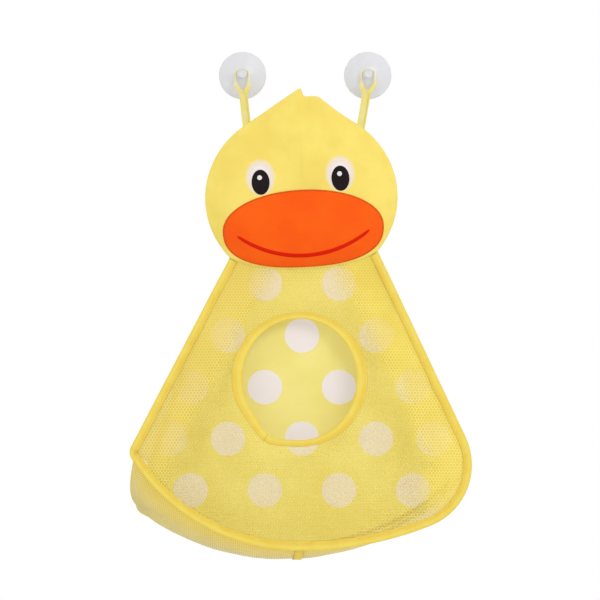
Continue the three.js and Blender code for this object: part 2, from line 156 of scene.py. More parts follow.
def ripple(points, size, seed):  # smooth noise from -1 to 1, about one bump for each size
    shift = Vector((7.3, 3.1, 5.7)) * seed
    return np.array([noise.noise(Vector((*point, 0.0)[:3]) / size + shift) for point in points])


def standing(flat, depth):  # flat places of x and z, each at its depth
    return np.column_stack([flat[:, 0], np.broadcast_to(depth, len(flat)), flat[:, 1]])


def reachOf(line):  # how far along a line each of its points lies
    return np.concatenate([[0], np.cumsum(np.linalg.norm(np.diff(line, axis=0), axis=1))])


def spaced(points, step, closed=False):  # points at an even distance along a line
    line = np.asarray(points, float)
    if closed:
        line = np.vstack([line, line[:1]])
    reach = reachOf(line)
    at = np.linspace(0, reach[-1], max(2, round(reach[-1] / step)) + 1)
    if closed:
        at = at[:-1]
    return np.stack([np.interp(at, reach, line[:, axis]) for axis in range(line.shape[1])], axis=1)


def alongOf(line, closed=False):  # the direction of a line at each of its points
    if closed:
        steps = np.roll(line, -1, axis=0) - np.roll(line, 1, axis=0)
    else:
        steps = np.gradient(line, axis=0)
    return steps / np.linalg.norm(steps, axis=1, keepdims=True)


def inwardOf(line, closed=False):  # to the left of its direction
    along = alongOf(line, closed)
    return np.column_stack([-along[:, 1], along[:, 0]])


def cornersCut(points):  # a line without its sharp corners, its two ends kept
    line = np.asarray(points, float)
    cuts = np.stack([lerp(line[:-1], line[1:], 0.25), lerp(line[:-1], line[1:], 0.75)], axis=1)
    return np.vstack([line[:1], cuts.reshape(-1, line.shape[1])[1:-1], line[-1:]])


def roundTurns(steps):
    return np.linspace(0, 2 * math.pi, steps, endpoint=False)


def onCircle(turns):
    return np.column_stack([np.cos(turns), np.sin(turns)])


def boxyRound(turns, power):  # a circle, nearer to a square the lower the power
    cosine, sine = np.cos(turns), np.sin(turns)
    return np.sign(cosine) * np.abs(cosine)**power, np.sign(sine) * np.abs(sine)**power


# Finishes

class Value:
    def __init__(self, socket):
        self.socket = socket

    def math(self, operation, first, second=0.0):
        node = self.socket.id_data.nodes.new("ShaderNodeMath")
        node.operation = operation
        plug(node.inputs[0], first)
        plug(node.inputs[1], second)
        return Value(node.outputs[0])

    def __add__(self, other):
        return self.math("ADD", self, other)

    def __radd__(self, other):
        return self.math("ADD", other, self)

    def __sub__(self, other):
        return self.math("SUBTRACT", self, other)

    def __rsub__(self, other):
        return self.math("SUBTRACT", other, self)

    def __mul__(self, other):
        return self.math("MULTIPLY", self, other)

    def __rmul__(self, other):
        return self.math("MULTIPLY", other, self)

    def __pow__(self, other):
        return self.math("POWER", self, other)

    def __rpow__(self, other):
        return self.math("POWER", other, self)

    def cos(self):
        return self.math("COSINE", self)

    def least(self, other):
        return self.math("MINIMUM", self, other)

    def fromMiddle(self, period):  # distance to the nearest whole period
        return self.math("PINGPONG", self, period / 2)


def plug(socket, value):
    if isinstance(value, Value):
        socket.id_data.links.new(value.socket, socket)
    else:
        socket.default_value = value


def colour(red, green, blue):  # from the 0 to 255 of a screen to linear light
    shares = [channel / 255 for channel in (red, green, blue)]
    return (*(s / 12.92 if s <= 0.04045 else ((s + 0.055) / 1.055) ** 2.4 for s in shares), 1.0)


class Finish:
    def __init__(self, name, settings):
        self.material = bpy.data.materials.new(name)
        self.material.use_nodes = True
        self.tree = self.material.node_tree
        self.shader = self.tree.nodes["Principled BSDF"]
        for label, value in settings.items():
            self.shader.inputs[label].default_value = value

    def node(self, kind, settings, sockets, output=0):
        made = self.tree.nodes.new("ShaderNode" + kind)
        for label, value in settings.items():
            setattr(made, label, value)
        for label, value in sockets.items():
            plug(made.inputs[label], value)
        return Value(made.outputs[output])

    def feed(self, label, value):
        plug(self.shader.inputs[label], value)

    def onCloth(self):  # the place on the flat cloth, in millimetres
        place = self.node("Attribute", {"attribute_name": "cloth"}, {}, "Vector")
        split = self.node("SeparateXYZ", {}, {"Vector": place}, "X")
        return split, Value(split.socket.node.outputs["Y"])

    def mark(self, name):
        return self.node("Attribute", {"attribute_name": name}, {}, "Fac")

    def cloudy(self, size, detail=2.0):
        place = self.node("TexCoord", {}, {}, "Object")
        return self.node("TexNoise", {}, {"Vector": place, "Scale": 1 / (size * mm), "Detail": detail})

    def rise(self, value, low, high):  # 0 below low, 1 above high
        sockets = {"Value": value, "From Min": low, "From Max": high}
        return self.node("MapRange", {"interpolation_type": "SMOOTHSTEP"}, sockets, "Result")

    def patches(self, clouds):  # clouds with more contrast
        return self.rise(clouds, 0.3, 0.7)

    def tint(self, share, low, high):
        return self.node("Mix", {"data_type": "RGBA"}, {0: share, 6: low, 7: high}, 2)

    def bump(self, height, distance, strength=1.0):
        sockets = {"Strength": strength, "Distance": distance * mm, "Height": height}
        self.feed("Normal", self.node("Bump", {}, sockets))


clothSettings = {"Sheen Weight": 0.03, "Sheen Roughness": 0.5, "Specular IOR Level": 0.15}
thinCloth = {"Subsurface Weight": 0.5, "Subsurface Radius": (1.0, 1.0, 1.0), "Subsurface Scale": 0.003}
headWeave = {"pitch": 0.8, "clouds": 32.0, "fuzz": 1.2, "relief": 0.09}


def weaveOf(finish, pitch):  # plain weave: threads over and under each other
    across, along = finish.onCloth()
    turn = 2 * math.pi / pitch
    return (across * turn).cos() * (along * turn).cos()


def mottled(finish, clouds, weave, light, deep):
    return finish.tint(finish.patches(clouds) * 0.85 + weave * 0.07 + 0.07, deep, light)


def fuzzy(finish, weave):  # threads with a little fuzz on them
    finish.bump(weave + finish.cloudy(headWeave["fuzz"]) * 0.8, headWeave["relief"])


def wovenFinish(name, light, deep, pitch=headWeave["pitch"]):
    finish = Finish(name, clothSettings)
    clouds = finish.cloudy(headWeave["clouds"], 3.0)
    weave = weaveOf(finish, pitch)
    finish.feed("Base Color", mottled(finish, clouds, weave, light, deep))
    finish.feed("Roughness", 0.78 + clouds * 0.15)
    fuzzy(finish, weave)
    return finish


# White dots in staggered rows, printed on one side and paler on the other
dotPrint = {
    "across": 70.5,
    "row": 49.1,
    "radius": 16.4,
    "start": (-33.4, -128.9),
    "soft": 0.35,
    "wobble": 0.5,
    "border": -252.0,
    "weave": 0.7,
}


def dottedFinish(name, light, deep, dot):
    finish = Finish(name, clothSettings | thinCloth)
    across, along = finish.onCloth()
    startX, startZ = dotPrint["start"]
    wide, high = dotPrint["across"], 2 * dotPrint["row"]
    near = None
    for half in (0, 0.5):
        x = (across - (startX + half * wide)).fromMiddle(wide)
        z = (along - (startZ + half * high)).fromMiddle(high)
        distance = (x * x + z * z) ** 0.5
        near = distance if near is None else near.least(distance)
    near = near + (finish.cloudy(3.0) - 0.5) * dotPrint["wobble"]
    radius, soft, border = dotPrint["radius"], dotPrint["soft"], dotPrint["border"]
    ink = 1 - finish.rise(near, radius - soft, radius + soft)
    ink = ink * finish.rise(along, border, border + 1)  # plain below the last row
    weave = weaveOf(finish, dotPrint["weave"])
    ground = mottled(finish, finish.cloudy(38, 3.0), weave, light, deep)
    finish.feed("Base Color", finish.tint(ink, ground, dot))
    finish.feed("Roughness", 0.82 - ink * 0.12)
    finish.bump(weave, 0.07)
    return finish


# Knitted net: three sets of waves leave rounded holes in staggered rows
netKnit = {  # where on the waves holes begin, and how far they are filled, for close and for open net
    "front": {"pitch": 2.6, "thread": 0.84, "close": (-0.9, 0.68), "open": (-0.9, 0.07)},
    "gusset": {"pitch": 2.0, "thread": 0.97, "close": (0.2, 0.74), "open": (-1.15, 0.06)},
    "soft": 0.3,
    # painted shade: the deeper yellow that nets are mixed towards where they lie in shade
    "paintedShade": colour(228, 202, 100),
}


# Open where the mark "edge" is 1. On marked nets the mark "pale" paints light and shade: lighter where it
# is 1, darker where it is 0. Painted shade, towards a deeper yellow, where the painted-shade mark is 1
def netFinish(name, light, deep, kind, marked=0.0):
    finish = Finish(name, clothSettings)
    across, along = finish.onCloth()
    knit, soft = netKnit[kind], netKnit["soft"]
    turn = 2 * math.pi / knit["pitch"]
    waves = (along * turn).cos()
    for lean in (30, 150):
        cosine, sine = math.cos(math.radians(lean)), math.sin(math.radians(lean))
        waves = waves + (across * (turn * cosine) + along * (turn * sine)).cos()
    clouds = finish.cloudy(30, 3.0)
    # painted light and shade: on marked nets the mark "pale" sets how lit the colour looks
    shade = finish.patches(clouds) * (1 - marked) + finish.mark("pale") * marked
    base = finish.tint(shade, deep, light)
    # painted shade: mixed towards the deeper yellow where the painted-shade mark is 1
    finish.feed("Base Color", finish.tint(finish.mark("paintedShade"), base, netKnit["paintedShade"]))
    finish.feed("Roughness", 0.62 + clouds * 0.2)
    stretched = finish.mark("edge")
    begin, fill = (stretched * (b - a) + a for a, b in zip(knit["close"], knit["open"]))
    hole = finish.rise(waves, begin - soft, begin + soft)
    finish.feed("Alpha", knit["thread"] - hole * (knit["thread"] - fill))
    finish.bump(hole * -0.5, 0.12)
    return finish


def tapeFinish(name, light, deep, rib=0.9):  # woven tape: fine ribs across, colour by the mark "edge", which on the folded bindings is partly painted shade
    finish = Finish(name, clothSettings)
    across, along = finish.onCloth()
    ribs = ((along + across * 0.45) * (2 * math.pi / rib)).cos()
    clouds = finish.cloudy(14, 3.0)
    shade = finish.mark("edge") * 0.62 + finish.patches(clouds) * 0.3 + ribs * 0.05
    finish.feed("Base Color", finish.tint(shade, light, deep))
    finish.feed("Roughness", 0.7 + clouds * 0.18)
    finish.bump(ribs + finish.cloudy(2.2) * 1.2, 0.1)
    return finish


def satinFinish(name, light, deep, pitch=0.42):  # close threads side by side
    finish = Finish(name, {"Specular IOR Level": 0.08})
    threads = (finish.onCloth()[0] * (2 * math.pi / pitch)).cos()
    finish.feed("Base Color", finish.tint(threads * 0.3 + finish.cloudy(4) * 0.6, deep, light))
    finish.feed("Roughness", 0.5 + finish.cloudy(6) * 0.2)
    finish.bump(threads, 0.08)
    return finish


def threadFinish(name, light, deep):
    finish = Finish(name, clothSettings)
    fuzz = finish.cloudy(1.5, 3.0)
    finish.feed("Base Color", finish.tint(finish.patches(fuzz), deep, light))
    finish.feed("Roughness", 0.6 + fuzz * 0.25)
    finish.bump(finish.cloudy(0.4), 0.05)
    return finish


def eyeWhiteFinish(name, white, blush, light, deep):  # white in the middle, fading into the cloth round it
    finish = Finish(name, clothSettings)
    weave = weaveOf(finish, headWeave["pitch"])
    rim = finish.mark("rim") + (finish.cloudy(3) - 0.5) * 0.1
    inner = finish.tint(finish.rise(rim, 0.5, 0.66), white, blush)
    ground = mottled(finish, finish.cloudy(headWeave["clouds"], 3.0), weave, light, deep)
    finish.feed("Base Color", finish.tint(finish.rise(rim, 0.7, 1.0), inner, ground))
    finish.feed("Roughness", 0.75 + finish.cloudy(5) * 0.15)
    fuzzy(finish, weave)
    return finish


def vinylFinish(name):
    finish = Finish(name, {
        "Base Color": colour(230, 230, 232),
        "Transmission Weight": 0.5,
        "IOR": 1.4,
        "Specular IOR Level": 0.4,
        "Coat Weight": 0.3,
        "Coat Roughness": 0.12,
    })
    scuffs = finish.cloudy(6, 4.0)
    finish.feed("Roughness", 0.3 + finish.rise(scuffs, 0.45, 0.75) * 0.15)
    finish.bump(finish.cloudy(14), 0.15, 0.3)
    return finish


yellow = colour(241, 219, 112)
deepYellow = colour(233, 208, 98)
finishes = {
    "vinyl": vinylFinish("clear vinyl"),
    "headCloth": wovenFinish("yellow head cloth", yellow, deepYellow),
    "wadding": wovenFinish("wadding", colour(240, 240, 236), colour(226, 226, 220), 2.6),
    "beakCloth": wovenFinish("orange beak cloth", colour(245, 95, 9), colour(241, 85, 6)),
    "smileSatin": satinFinish("red satin stitch", colour(236, 36, 2), colour(218, 24, 1)),
    "pupilSatin": satinFinish("black satin stitch", colour(42, 32, 34), colour(28, 20, 22)),
    "glintSatin": satinFinish("white satin stitch", colour(244, 240, 240), colour(232, 226, 226)),
    "eyeWhite": eyeWhiteFinish(
        "soft white print", colour(234, 225, 220), colour(231, 217, 203), yellow, deepYellow
    ),
    "dottedFront": dottedFinish(
        "dotted cloth", colour(231, 217, 132), colour(225, 209, 119), colour(226, 217, 212)
    ),
    "dottedBack": dottedFinish(
        "dotted cloth reverse", colour(240, 222, 130), colour(233, 213, 114), colour(238, 224, 170)
    ),
    "net": netFinish("yellow net", colour(242, 221, 103), colour(234, 210, 86), "front"),
    # painted light and shade: the light colour is painted light, the deep colour painted shade, chosen by
    # the gusset's marks
    "gussetNet": netFinish("pale net", colour(252, 236, 138), colour(204, 188, 126), "gusset", 0.8),
    "tape": tapeFinish("binding tape", colour(233, 214, 101), colour(227, 191, 66)),
    "paleTape": tapeFinish("pale binding tape", colour(228, 214, 150), colour(222, 200, 112)),
    "webbing": tapeFinish("loop webbing", colour(234, 228, 190), colour(223, 206, 106), 1.1),
    "thread": threadFinish("yellow thread", colour(240, 210, 100), colour(230, 188, 70)),
    "beakThread": threadFinish("dark orange thread", colour(226, 92, 18), colour(202, 78, 14)),
}
print("finishes:", len(finishes))


# Meshes

def linked(name, data):
    item = bpy.data.objects.new(name, data)
    bpy.context.scene.collection.objects.link(item)
    return item


def markPoints(mesh, label, values):  # a number or a vector for each point
    values = np.asarray(values, float)
    kind, field = ("FLOAT", "value") if values.ndim == 1 else ("FLOAT_VECTOR", "vector")
    mesh.attributes.new(label, kind, "POINT").data.foreach_set(field, values.ravel())


def newPiece(name, points, faces, finish, cloth=None, marks=None):
    mesh = bpy.data.meshes.new(name)
    mesh.from_pydata([tuple(point) for point in points], [], faces)
    mesh.shade_smooth()
    if cloth is not None:
        markPoints(mesh, "cloth", np.pad(cloth, ((0, 0), (0, 1))))
    for label, values in (marks or {}).items():
        markPoints(mesh, label, values)
    mesh.materials.append(finishes[finish].material)
    return linked(name, mesh)


def facingOut(points, faces):  # faces of a closed shape, turned to point out of it
    volume = 0.0
    for face in faces:
        a = points[face[0]]
        for second, third in zip(face[1:-1], face[2:]):
            volume += np.dot(a, np.cross(points[second], points[third]))
    return faces if volume > 0 else [tuple(reversed(face)) for face in faces]


def gridFaces(rows, columns, start=0, closed=False):
    faces = []
    for row in range(rows - 1):
        for column in range(columns if closed else columns - 1):
            after = (column + 1) % columns
            here, above = start + row * columns, start + (row + 1) * columns
            faces.append((here + column, here + after, above + after, above + column))
    return faces


def shellOf(first, rings, last):  # a closed shape: rings of points between two end points
    points = np.vstack([[first], *rings, [last]])
    around, end = len(rings[0]), len(points) - 1
    inner = end - around
    faces = gridFaces(len(rings), around, start=1, closed=True)
    faces += [(0, 1 + (step + 1) % around, 1 + step) for step in range(around)]
    faces += [(end, inner + step, inner + (step + 1) % around) for step in range(around)]
    return points, faces


def loft(name, sections, finish, cloth, marks=None):  # closed sections in a row, both ends shut
    count, around = sections.shape[:2]
    faces = gridFaces(count, around, closed=True)
    last = (count - 1) * around
    for step in range(around // 2 - 1):
        across = around - 1 - step
        faces.append((step, across, across - 1, step + 1))
        faces.append((last + step, last + step + 1, last + across - 1, last + across))
    points = sections.reshape(-1, 3)
    return newPiece(name, points, facingOut(points, faces), finish, cloth, marks)


def insideOf(points, loop):  # which points lie within a closed loop
    inside = np.zeros(len(points), bool)
    for a, b in zip(loop, np.roll(loop, -1, axis=0)):
        crosses = (a[1] > points[:, 1]) != (b[1] > points[:, 1])
        if crosses.any():
            reach = a[0] + (points[:, 1] - a[1]) * (b[0] - a[0]) / ((b[1] - a[1]) or 1e-12)
            inside ^= crosses & (points[:, 0] < reach)
    return inside


def distanceTo(points, line):  # shortest distance from each point to a line's points
    return np.min(np.linalg.norm(points[:, None, :] - line[None, :, :], axis=2), axis=1)


fillShape = {"rowHeight": 0.866, "clear": 0.55}  # shares of the spacing


def filled(outline, holes, spacing):  # an even triangle mesh inside an outline, round any holes
    def within(points):
        inside = insideOf(points, outline)
        for hole in holes:
            inside &= ~insideOf(points, hole)
        return inside

    low, high = outline.min(axis=0), outline.max(axis=0)
    lattice = np.array([
        (x + (row % 2) * spacing / 2, z)
        for row, z in enumerate(np.arange(low[1], high[1], spacing * fillShape["rowHeight"]))
        for x in np.arange(low[0], high[0], spacing)
    ])
    loops = [outline, *holes]
    keep = within(lattice)
    edges, start = [], 0
    for loop in loops:
        keep &= distanceTo(lattice, loop) > spacing * fillShape["clear"]
        edges += [(start + i, start + (i + 1) % len(loop)) for i in range(len(loop))]
        start += len(loop)
    points = np.vstack([*loops, lattice[keep]])
    made = delaunay_2d_cdt([Vector(point) for point in points], edges, [], 1, 1e-6)
    flat = np.array([(point.x, point.y) for point in made[0]])
    faces = [tuple(face) for face in made[2]]
    shown = within(np.array([flat[list(face)].mean(axis=0) for face in faces]))
    turned = []
    for face in (face for face, kept in zip(faces, shown) if kept):
        a, b, c = (flat[index] for index in face)  # counter-clockwise in x and z, which faces the front
        area = (b[0] - a[0]) * (c[1] - a[1]) - (c[0] - a[0]) * (b[1] - a[1])
        turned.append(face if area > 0 else tuple(reversed(face)))
    return flat, turned


# Stitches: a Geometry Nodes tree lays a thread on every step of a sewn line

stitchShape = {  # pitch, length and thickness
    "tape": (3.0, 2.3, 0.42),
    "seamTape": (3.0, 2.2, 0.42),
    "beak": (0.62, 2.0, 0.6),
}


def stitchTree():
    tree = bpy.data.node_groups.new("Sewn stitches", "GeometryNodeTree")
    sockets = [("Geometry", "Geometry"), ("Pitch", "Float"), ("Length", "Float"), ("Thread", "Float")]
    for label, kind in [*sockets, ("Finish", "Material")]:
        tree.interface.new_socket(label, in_out="INPUT", socket_type="NodeSocket" + kind)
    tree.interface.new_socket("Geometry", in_out="OUTPUT", socket_type="NodeSocketGeometry")

    def node(kind, settings, links, output=0):
        made = tree.nodes.new(kind)
        for label, value in settings.items():
            setattr(made, label, value)
        for label, value in links.items():
            if isinstance(value, bpy.types.NodeSocket):
                tree.links.new(value, made.inputs[label])
            else:
                made.inputs[label].default_value = value
        return made.outputs[output]

    given = tree.nodes.new("NodeGroupInput").outputs
    line = node("GeometryNodeMeshToCurve", {}, {"Mesh": given["Geometry"]})
    steps = node("GeometryNodeResampleCurve", {"mode": "LENGTH"}, {"Curve": line, "Length": given["Pitch"]})
    size = node("ShaderNodeCombineXYZ", {}, {0: given["Length"], 1: given["Thread"], 2: given["Thread"]})
    ball = node("GeometryNodeMeshUVSphere", {}, {"Segments": 6, "Rings": 5, "Radius": 0.5})
    stitch = node("GeometryNodeTransform", {}, {"Geometry": ball, "Scale": size})
    lay = node("GeometryNodeInputNamedAttribute", {"data_type": "FLOAT_VECTOR"}, {"Name": "lay"})
    turn = node("FunctionNodeAlignRotationToVector", {"axis": "X"}, {"Vector": lay})
    sewn = node("GeometryNodeInstanceOnPoints", {}, {"Points": steps, "Instance": stitch, "Rotation": turn})
    real = node("GeometryNodeRealizeInstances", {}, {"Geometry": sewn})
    even = node("GeometryNodeSetShadeSmooth", {}, {"Geometry": real})
    done = node("GeometryNodeSetMaterial", {}, {"Geometry": even, "Material": given["Finish"]})
    tree.links.new(done, tree.nodes.new("NodeGroupOutput").inputs["Geometry"])
    return tree


sewnStitches = stitchTree()


def sewnRows(name, rows, kind, finish, lay=None, closed=False):  # along the row if no lay is given
    points, lays, edges = [], [], []
    for line in rows:
        start = len(points)
        points += [tuple(point) for point in line]
        lays += list(alongOf(line, closed) if lay is None else lay)
        edges += [(start + i, start + i + 1) for i in range(len(line) - 1)]
        if closed:
            edges.append((start + len(line) - 1, start))
    mesh = bpy.data.meshes.new(name + " line")
    mesh.from_pydata(points, edges, [])
    markPoints(mesh, "lay", lays)
    guide = linked(name + " line", mesh)
    modifier = guide.modifiers.new("stitches", "NODES")
    modifier.node_group = sewnStitches
    pitch, length, thread = stitchShape[kind]
    values = {
        "Pitch": pitch * mm, "Length": length * mm, "Thread": thread * mm,
        "Finish": finishes[finish].material,
    }
    for item in sewnStitches.interface.items_tree:
        if item.in_out == "INPUT" and item.name in values:
            modifier[item.identifier] = values[item.name]
    graph = bpy.context.evaluated_depsgraph_get()
    made = bpy.data.meshes.new_from_object(guide.evaluated_get(graph))
    bpy.data.objects.remove(guide)
    made.name = name
    print("stitches:", name, len(made.polygons), "faces")
    return linked(name, made)


# Suction cups, turned about an axis that points away from the wall

cupShape = {
    "spacing": 119.2,
    "radius": 22.5,
    "rim": 2.0,
    "lip": 0.8,
    "lipRound": [(-0.35, 0.0), (0.0, 0.3)],
    "height": 11.5,
    "hollow": 8.0,
    "neckRadius": 2.75,
    "neckLength": 6.5,
    "neckFillet": 0.5,
    "knobRadius": 4.5,
    "knobLength": 5.3,
    "knobUnder": [(-0.5, 0.05), (-0.1, 0.3), (0.0, 0.8)],  # past its radius, and past its start or end
    "knobOver": [(0.0, -1.6), (-0.25, -0.8), (-0.9, -0.25), (-1.9, 0.0)],
    "turns": 96,
}


def cupProfile():  # radius and height, from the hollow's middle round to the knob's
    cup = cupShape
    radius, neck, knob = cup["radius"], cup["neckRadius"], cup["knobRadius"]
    share = np.linspace(0, 1, 18)
    hollow = np.column_stack([(radius - cup["rim"]) * share, cup["hollow"] * (1 - share**2)])
    lip = [(radius + out, up) for out, up in cup["lipRound"]]
    across = np.linspace(radius, neck, 26)
    domeHeight = cup["height"] - cup["lip"]
    dome = np.column_stack([across, cup["lip"] + domeHeight * (1 - (across / radius)**2)])
    start = cup["height"] + cup["neckLength"]
    end = start + cup["knobLength"]
    waist = [(neck, lerp(cup["height"], start, step)) for step in (0.3, 0.6, 0.9)]
    under = [(knob + out, start + up) for out, up in cup["knobUnder"]]
    over = [(knob + out, end + up) for out, up in cup["knobOver"]]
    return np.vstack([hollow, lip, dome, waist, (neck + cup["neckFillet"], start), under, over, (0.0, end)])


def suctionCup(side, sign):
    profile = cupProfile()
    circle = onCircle(roundTurns(cupShape["turns"]))
    x = sign * cupShape["spacing"] / 2
    rings = [standing(circle * radius + (x, 0), -height) for radius, height in profile[1:-1]]
    points, faces = shellOf((x, -profile[0][1], 0), rings, (x, -profile[-1][1], 0))
    points = points * mm
    piece = newPiece(f"cup_{side}", points, facingOut(points, faces), "vinyl")
    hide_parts(f"{side}_suction_cup")
    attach(piece, "wall_cups")


for side, sign in bothSides:
    suctionCup(side, sign)
print("suction cups")


# Head: an ellipse with a tuft on top, cut off below along the beak's lower edge

def onHead(x):
    return headShape["halfHeight"] * math.sqrt(max(0, 1 - (x / headShape["halfWidth"])**2))


def chinLine(x):
    beak = beakShape
    share = abs((x - beak["middle"][0]) / (beak["halfWidth"] + beak["chinSide"]))
    drop = max(0, 1 - share**beak["lowerPower"])**(1 / beak["lowerPower"])
    return beak["middle"][1] - (beak["halfHeight"] + beak["chinDrop"]) * drop


def chinEnd(sign):
    inside, outside = 0.0, beakShape["halfWidth"]
    for _ in range(50):
        x = (inside + outside) / 2
        if chinLine(sign * x) > -onHead(x):
            inside = x
        else:
            outside = x
    return sign * inside, chinLine(sign * inside)


def headArc(start, end, steps=60):
    wide, high = headShape["halfWidth"], headShape["halfHeight"]
    first, last = (math.atan2(z / high, x / wide) for x, z in (start, end))
    last += 2 * math.pi if last < first else 0
    return onCircle(np.linspace(first, last, steps)) * (wide, high)


chinLeft, chinRight = chinEnd(-1), chinEnd(1)
chinRun = np.array([(x, chinLine(x)) for x in np.linspace(chinLeft[0], chinRight[0], 80)])


def headOutline():
    tuftStart, tuftEnd = ((headShape[key], onHead(headShape[key])) for key in ("tuftFrom", "tuftTo"))
    tuft = cornersCut([tuftEnd, *reversed(headShape["tuft"]), tuftStart])
    runs = [headArc(chinRight, tuftEnd), tuft, headArc(tuftStart, chinLeft), chinRun]
    return np.vstack([run[:-1] for run in runs])


headRim = spaced(headOutline(), 1.8, closed=True)
roundRim = headRim.copy()
for _ in range(headShape["rounding"]):
    roundRim = roundRim / 2 + (np.roll(roundRim, 1, axis=0) + np.roll(roundRim, -1, axis=0)) / 4


def headRing(share):  # the rim, smaller, and the rounder the nearer it is to the middle
    return share * lerp(roundRim, headRim, smooth(share, 0.5, 0.98))


def filledOut(points, faces, held):  # cloth simulation: the filling presses a cover out from inside
    filling = headFilling
    mesh = bpy.data.meshes.new("cover copy")
    mesh.from_pydata([tuple(point) for point in points], [], faces)
    copy = linked("cover copy", mesh)
    group = copy.vertex_groups.new(name="held")
    for index in np.nonzero(held)[0]:
        group.add([int(index)], float(held[index]), "REPLACE")
    cloth = copy.modifiers.new("filling", "CLOTH").settings
    cloth.vertex_group_mass = "held"
    cloth.use_pressure = True
    cloth.uniform_pressure_force = filling["pressure"]
    cloth.shrink_min = -filling["slack"]
    cloth.quality, cloth.mass = filling["quality"], filling["mass"]
    cloth.tension_stiffness = cloth.compression_stiffness = filling["stiffness"]
    cloth.bending_stiffness = filling["bending"]
    cloth.effector_weights.gravity = 0
    for step in range(1, filling["frames"] + 1):
        bpy.context.scene.frame_set(step)
    shaped = copy.evaluated_get(bpy.context.evaluated_depsgraph_get())
    moved = np.empty(3 * len(points))
    shaped.data.vertices.foreach_get("co", moved)
    bpy.data.objects.remove(copy)
    bpy.context.scene.frame_set(1)
    move = moved.reshape(-1, 3) - points
    grid = move[1:-1].reshape(-1, len(headRim), 3)
    own, beside, nextRings = filling["evenShares"]
    for _ in range(filling["evened"]):
        wide = (np.roll(grid, 1, axis=1) + np.roll(grid, -1, axis=1)) / 2
        deep = (np.concatenate([grid[:1], grid[:-1]]) + np.concatenate([grid[1:], grid[-1:]])) / 2
        grid = own * grid + beside * wide + nextRings * deep
    near = filling["middleRings"]  # one move for all round the middle
    share = np.linspace(1, 0, near)[:, None, None]
    grid[:near] = lerp(grid[:near], grid[:near].mean(axis=1, keepdims=True), share)
    move[1:-1] = grid.reshape(-1, 3)
    move[0] = grid[0].mean(axis=0)
    length = np.linalg.norm(move, axis=1)
    most = filling["most"] * mm
    farthest, mean = (round(size / mm, 2) for size in (length.max(), length.mean()))
    print("filling: moved up to", farthest, "mm, mean", mean, "mm")
    return points + move * (most * np.tanh(length / most) / np.maximum(length, 1e-12))[:, None]


def headCover():
    head, rings = headShape, 30
    shares = np.sin(np.linspace(0, math.pi / 2, rings + 1))[1:]
    wide, fine = head["puckerSizes"]
    puckers = ripple(headRim, wide, 3) + head["puckerFine"] * ripple(headRim, fine, 5)
    domePower, dropPower = head["crownPowers"]
    lumpHeight, lumpSize = head["lump"]
    ringPoints = []
    for share in shares:  # front, from its middle out to the seam
        flat = headRing(share)
        crown = head["crown"] * (1 - share**domePower)**dropPower
        depth = head["seam"] * smooth(1 - share, 0, head["seamRound"]) + crown
        lumps = lumpHeight * ripple(flat, lumpSize, 1) * (1 - share**2)
        pull = head["pucker"] * puckers * share**head["puckerPower"]
        ringPoints.append(standing(flat, -depth - lumps + pull))
    for share in shares[-2::-1]:  # back, from the seam in to the middle
        flat = headRing(share)
        swell = head["backSwell"] * (1 - share**2) * smooth(flat[:, 1], *head["backSwellAbove"])
        depth = head["seam"] * smooth(1 - share, 0, head["seamRound"]) + swell
        pull = head["pucker"] * head["puckerBack"] * puckers * share**head["puckerPower"]
        ringPoints.append(standing(flat, depth + pull))
    backMiddle = head["seam"] + head["backSwell"] * smooth(0.0, *head["backSwellAbove"])
    points, faces = shellOf((0, -head["seam"] - head["crown"], 0), ringPoints, (0, backMiddle, 0))
    world = placed(headPlace, points)
    faces = facingOut(world, faces)
    held = np.ones(len(points))
    held[:1 + (rings - 1) * len(headRim)] = 0  # all but the front inside its seam
    world = filledOut(world, faces, held)
    piece = newPiece("head_cover", world, faces, "headCloth", points[:, [0, 2]])
    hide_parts("head_front_panel", "head_back_panel")
    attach(piece, "bag")
    return piece


waddingShape = {
    "inset": 0.9,
    "rings": 14,
    "below": 1.2,
    "edge": 0.2,
    "domePower": 2.4,
    "fluff": (0.5, 9.0),  # height and size
    "least": 0.25,
    "middle": 1.0,
    "back": 0.05,
}


def headWadding():
    wadding = waddingShape
    shares = np.linspace(0, 1, wadding["rings"] + 1)[1:]
    fluffHeight, fluffSize = wadding["fluff"]
    ringPoints = []
    for share in shares:
        flat = headRim * share * wadding["inset"]
        dome = 1 - share**wadding["domePower"]
        depth = (headShape["crown"] - wadding["below"]) * dome - wadding["edge"]
        fluff = fluffHeight * ripple(flat, fluffSize, 2) * (1 - share**4)
        ringPoints.append(standing(flat, -np.maximum(depth + fluff, wadding["least"])))
    for share in shares[-2::-1]:
        ringPoints.append(standing(headRim * share * wadding["inset"], wadding["back"]))
    frontMiddle = wadding["middle"] - headShape["crown"]
    points, faces = shellOf((0, frontMiddle, 0), ringPoints, (0, wadding["back"], 0))
    world = placed(headPlace, points)
    piece = newPiece("head_wadding", world, facingOut(world, faces), "wadding", points[:, [0, 2]])
    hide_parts("head_padding")
    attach(piece, "bag")


cover = headCover()
headWadding()
print("head:", len(cover.data.polygons), "faces")


# Face: patches laid on the head's front, one on another

def frontOf(*pieces):  # how far forward the pieces reach at places of the head, in its own frame
    points, faces = [], []
    for piece in pieces:
        start = len(points)
        points += [vertex.co.copy() for vertex in piece.data.vertices]
        faces += [tuple(start + index for index in face.vertices) for face in piece.data.polygons]
    tree = BVHTree.FromPolygons(points, faces)
    into = headPlace.to_3x3() @ Vector((0, 1, 0))
    back = headPlace.inverted()

    def depthAt(flat):
        found = []
        for x, z in flat:
            start = headPlace @ (Vector((x, -60, z)) * mm)  # well before the face
            hit = tree.ray_cast(start, into)[0]
            found.append((back @ hit).y / mm if hit else 0.0)
        return np.array(found)

    return depthAt


patchShape = {"above": 0.05, "below": 0.12, "edgePower": 12, "puffPower": 0.8}


